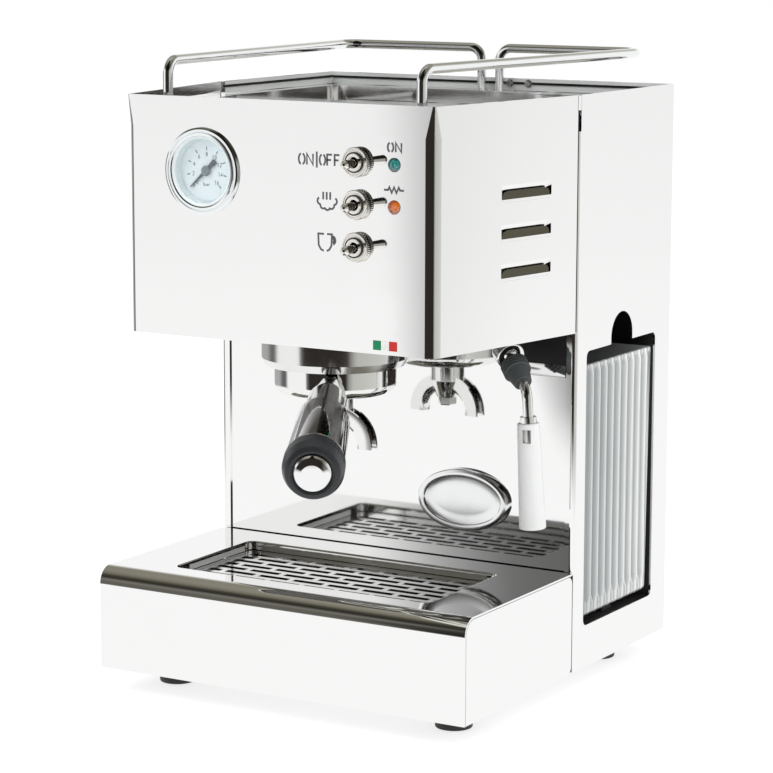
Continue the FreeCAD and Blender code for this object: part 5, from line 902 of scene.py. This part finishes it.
# Steam wand: a chromed tube on a ball joint, with a ribbed slate grip near the ball and a chromed tip.
# The white froth sleeve is moulded plastic, a little translucent, with an air slot near its top.
dress(bright_metal("wand_chrome", "chrome", (0.90, 0.90, 0.89), 0.06, 0.0, 26.0),
      "steam_socket", "steam_wand", "wand_tip")
dress(moulded("seat_black", "black_plastic", (0.03, 0.03, 0.03), 0.5, 0.02, 13.0), "ball_seat")
dress(moulded("grip_slate", "slate_rubber", (0.070, 0.078, 0.078), 0.6, 0.02, 14.0), "steam_grip")
sleeve_white = moulded("sleeve_white", "white_plastic", (0.82, 0.83, 0.82), 0.30, 0.0, 15.0, 0.02)
sleeve_skin = sleeve_white.node_tree.nodes["Principled BSDF"]
sleeve_skin.inputs["Subsurface Weight"].default_value = 0.35
sleeve_skin.inputs["Subsurface Radius"].default_value = (0.003, 0.003, 0.003)
dress(sleeve_white, "froth_sleeve")


# Water tank: blow-moulded milky plastic with upright flutes on the face that shows in the side window.
# It slides in the black bay from the right and stands on the coupling of the suction hose.
tank_face, tank_back, tank_front, tank_rear, tank_taper = 123.4, -44.6, 147.6, 240.0, 3.4
tank_low, tank_high, tank_round, tank_wall = 30.0, 184.0, 3.6, 2.0
flute_pitch, flute_rise, flute_count, face_steps = 9.2, 1.2, 9, 160
tank_mid = tank_front + 45.8


def tank_loop(z, inset, flutes):
    """Outline of the tank at a height, with its flutes raised by a share of their full rise."""
    rear = tank_rear - tank_taper * (tank_high - z) / (tank_high - tank_low)
    right, left = tank_face - tank_round, tank_back + tank_round
    deep, shallow = rear - tank_round, tank_front + tank_round
    bend = tank_round - inset
    outline = []
    for x, y, start in ((right, deep, 0), (left, deep, 90), (left, shallow, 180), (right, shallow, 270)):
        outline += arc(x, y, bend, bend, start, start + 90, 8)
    span = rear - tank_front - 2 * tank_round
    for k in range(1, face_steps):
        y = tank_front + tank_round + span * k / face_steps
        offset = (y - tank_mid) / flute_pitch
        crest = (0.5 + 0.5 * cos(2 * pi * offset)) ** 1.4 if abs(offset) < flute_count / 2 else 0
        outline.append((tank_face - inset + flute_rise * flutes * (2.4 * crest - 1.4), y))
    return [at(x, y, z) for x, y in outline]


tank_levels = [(tank_low, 3.0, 0), (tank_low + 0.9, 1.0, 0), (tank_low + 3.0, 0, 0)]
tank_levels += [(tank_low + 8 + 7 * k / 6, 0, sin(pi / 2 * k / 6)) for k in range(7)]
tank_levels += [(tank_high - 6 + 4 * k / 6, 0, cos(pi / 2 * k / 6)) for k in range(7)]
tank_levels += [(tank_high - 0.6, 0, 0), (tank_high, 0.6, 0), (tank_high, tank_wall, 0),
                (tank_low + tank_wall, tank_wall, 0)]
tank_points = []
for z, inset, flutes in tank_levels:
    tank_points += tank_loop(z, inset, flutes)
tank_faces = tube_faces(len(tank_points) // len(tank_levels), len(tank_levels))
tank_milky, tree, skin = new_material("tank_milky", "clear_plastic")
skin.inputs["Roughness"].default_value = 0.14
skin.inputs["Coat Weight"].default_value = 1.0
skin.inputs["Coat Roughness"].default_value = 0.05
parts = parts_node(tree, "Object")
depth = range_node(tree, parts[1], at(0, tank_front, 0).y, at(0, tank_rear, 0).y)
cloudy = spread_node(tree, noise_node(tree, 30.0, 3.0, 4.0), -0.05, 0.05)
# Painted light: the tank's colour is lighter towards the back, where light comes through it.
lit_side = ramp_node(tree, math_node(tree, "ADD", depth, cloudy),
                     [(0.0, (0.56, 0.59, 0.59)), (0.35, (0.66, 0.69, 0.69)), (1.0, (0.92, 0.94, 0.94))])
# Painted highlight on each flute's crest, with painted shade in the valleys beside it.
across_flutes = math_node(tree, "SUBTRACT", parts[1], at(0, tank_mid - flute_pitch * 20, 0).y)
flute_share = math_node(tree, "FRACT", math_node(tree, "DIVIDE", across_flutes, flute_pitch / 1000))
flute_shade = ramp_node(tree, flute_share, [(0.0, 1.0), (0.06, 1.0), (0.16, 0.62), (0.34, 0.40),
                                            (0.48, 0.80), (0.54, 0.80), (0.64, 0.44), (0.84, 0.74),
                                            (0.94, 1.0), (1.0, 1.0)])
tree.links.new(mix_node(tree, 1.0, lit_side, flute_shade, "MULTIPLY"), skin.inputs["Base Color"])
add_piece("tank", tank_points, tank_faces, tank_milky, "tank", "water_tank", crisp=50)
dress(moulded("bay_black", "black_plastic", (0.022, 0.021, 0.020), 0.5, 0.03, 16.0), "tank_bay")
dress(moulded("coupling_black", "black_plastic", (0.03, 0.03, 0.03), 0.45, 0.02, 17.0), "tank_coupling")


# Badge: a cast oval plate with a wide flat rim and a shallow sunk face.
# It is plated bright and glued on the splash panel, right of the group.
badge_x, badge_z = 50.5, 98.0
badge_wide, badge_tall, badge_sides = 30.5, 19.0, 128
badge_rings = [(0.0, 0.0), (0.0, 3.4), (0.15, 3.8), (0.5, 4.0), (3.9, 4.02), (4.2, 3.9), (4.4, 3.6),
               (4.8, 3.5), (11.0, 3.58), (18.0, 3.6)]
badge_points = []
for inset, proud in badge_rings:
    oval = arc(badge_x, badge_z, badge_wide - inset, badge_tall - inset, 0, 360, badge_sides)
    badge_points += [at(x, panel_y - proud, z) for x, z in oval[:-1]]
badge_chrome = bright_metal("badge_chrome", "polished_steel", (0.90, 0.91, 0.91), 0.14, 0.01, 27.0)
add_piece("badge_oval", badge_points, tube_faces(badge_sides, len(badge_rings)), badge_chrome, "machine",
          "badge", crisp=60)


# Works: a cast aluminium heating block, copper pipes, a black vibrating pump on rubber mounts and its hose.
# They are bolted to the floor plate and under the head, and show through the vents and the open bay.
dress(bright_metal("block_cast", "cast_aluminium", (0.60, 0.60, 0.60), 0.42, 0.25, 28.0), "thermoblock")
dress(bright_metal("pipe_copper", "copper", (0.72, 0.42, 0.27), 0.20, 0.01, 29.0),
      "pressure_pipe", "steam_pipe", "gauge_pipe")
dress(moulded("pump_black", "black_plastic", (0.03, 0.03, 0.032), 0.45, 0.02, 18.0),
      "pump", "steam_valve", "thermostats")
dress(moulded("mount_rubber", "black_rubber", (0.02, 0.02, 0.02), 0.75, 0.03, 19.0),
      "pump_mounts", "suction_hose")


# Mains inlet: a moulded black socket with three pins, set in the back of the housing.
# It is the standard recessed kind and is held by its own two ears.
dress(moulded("inlet_black", "black_plastic", (0.025, 0.025, 0.025), 0.4, 0.02, 20.0), "power_inlet")
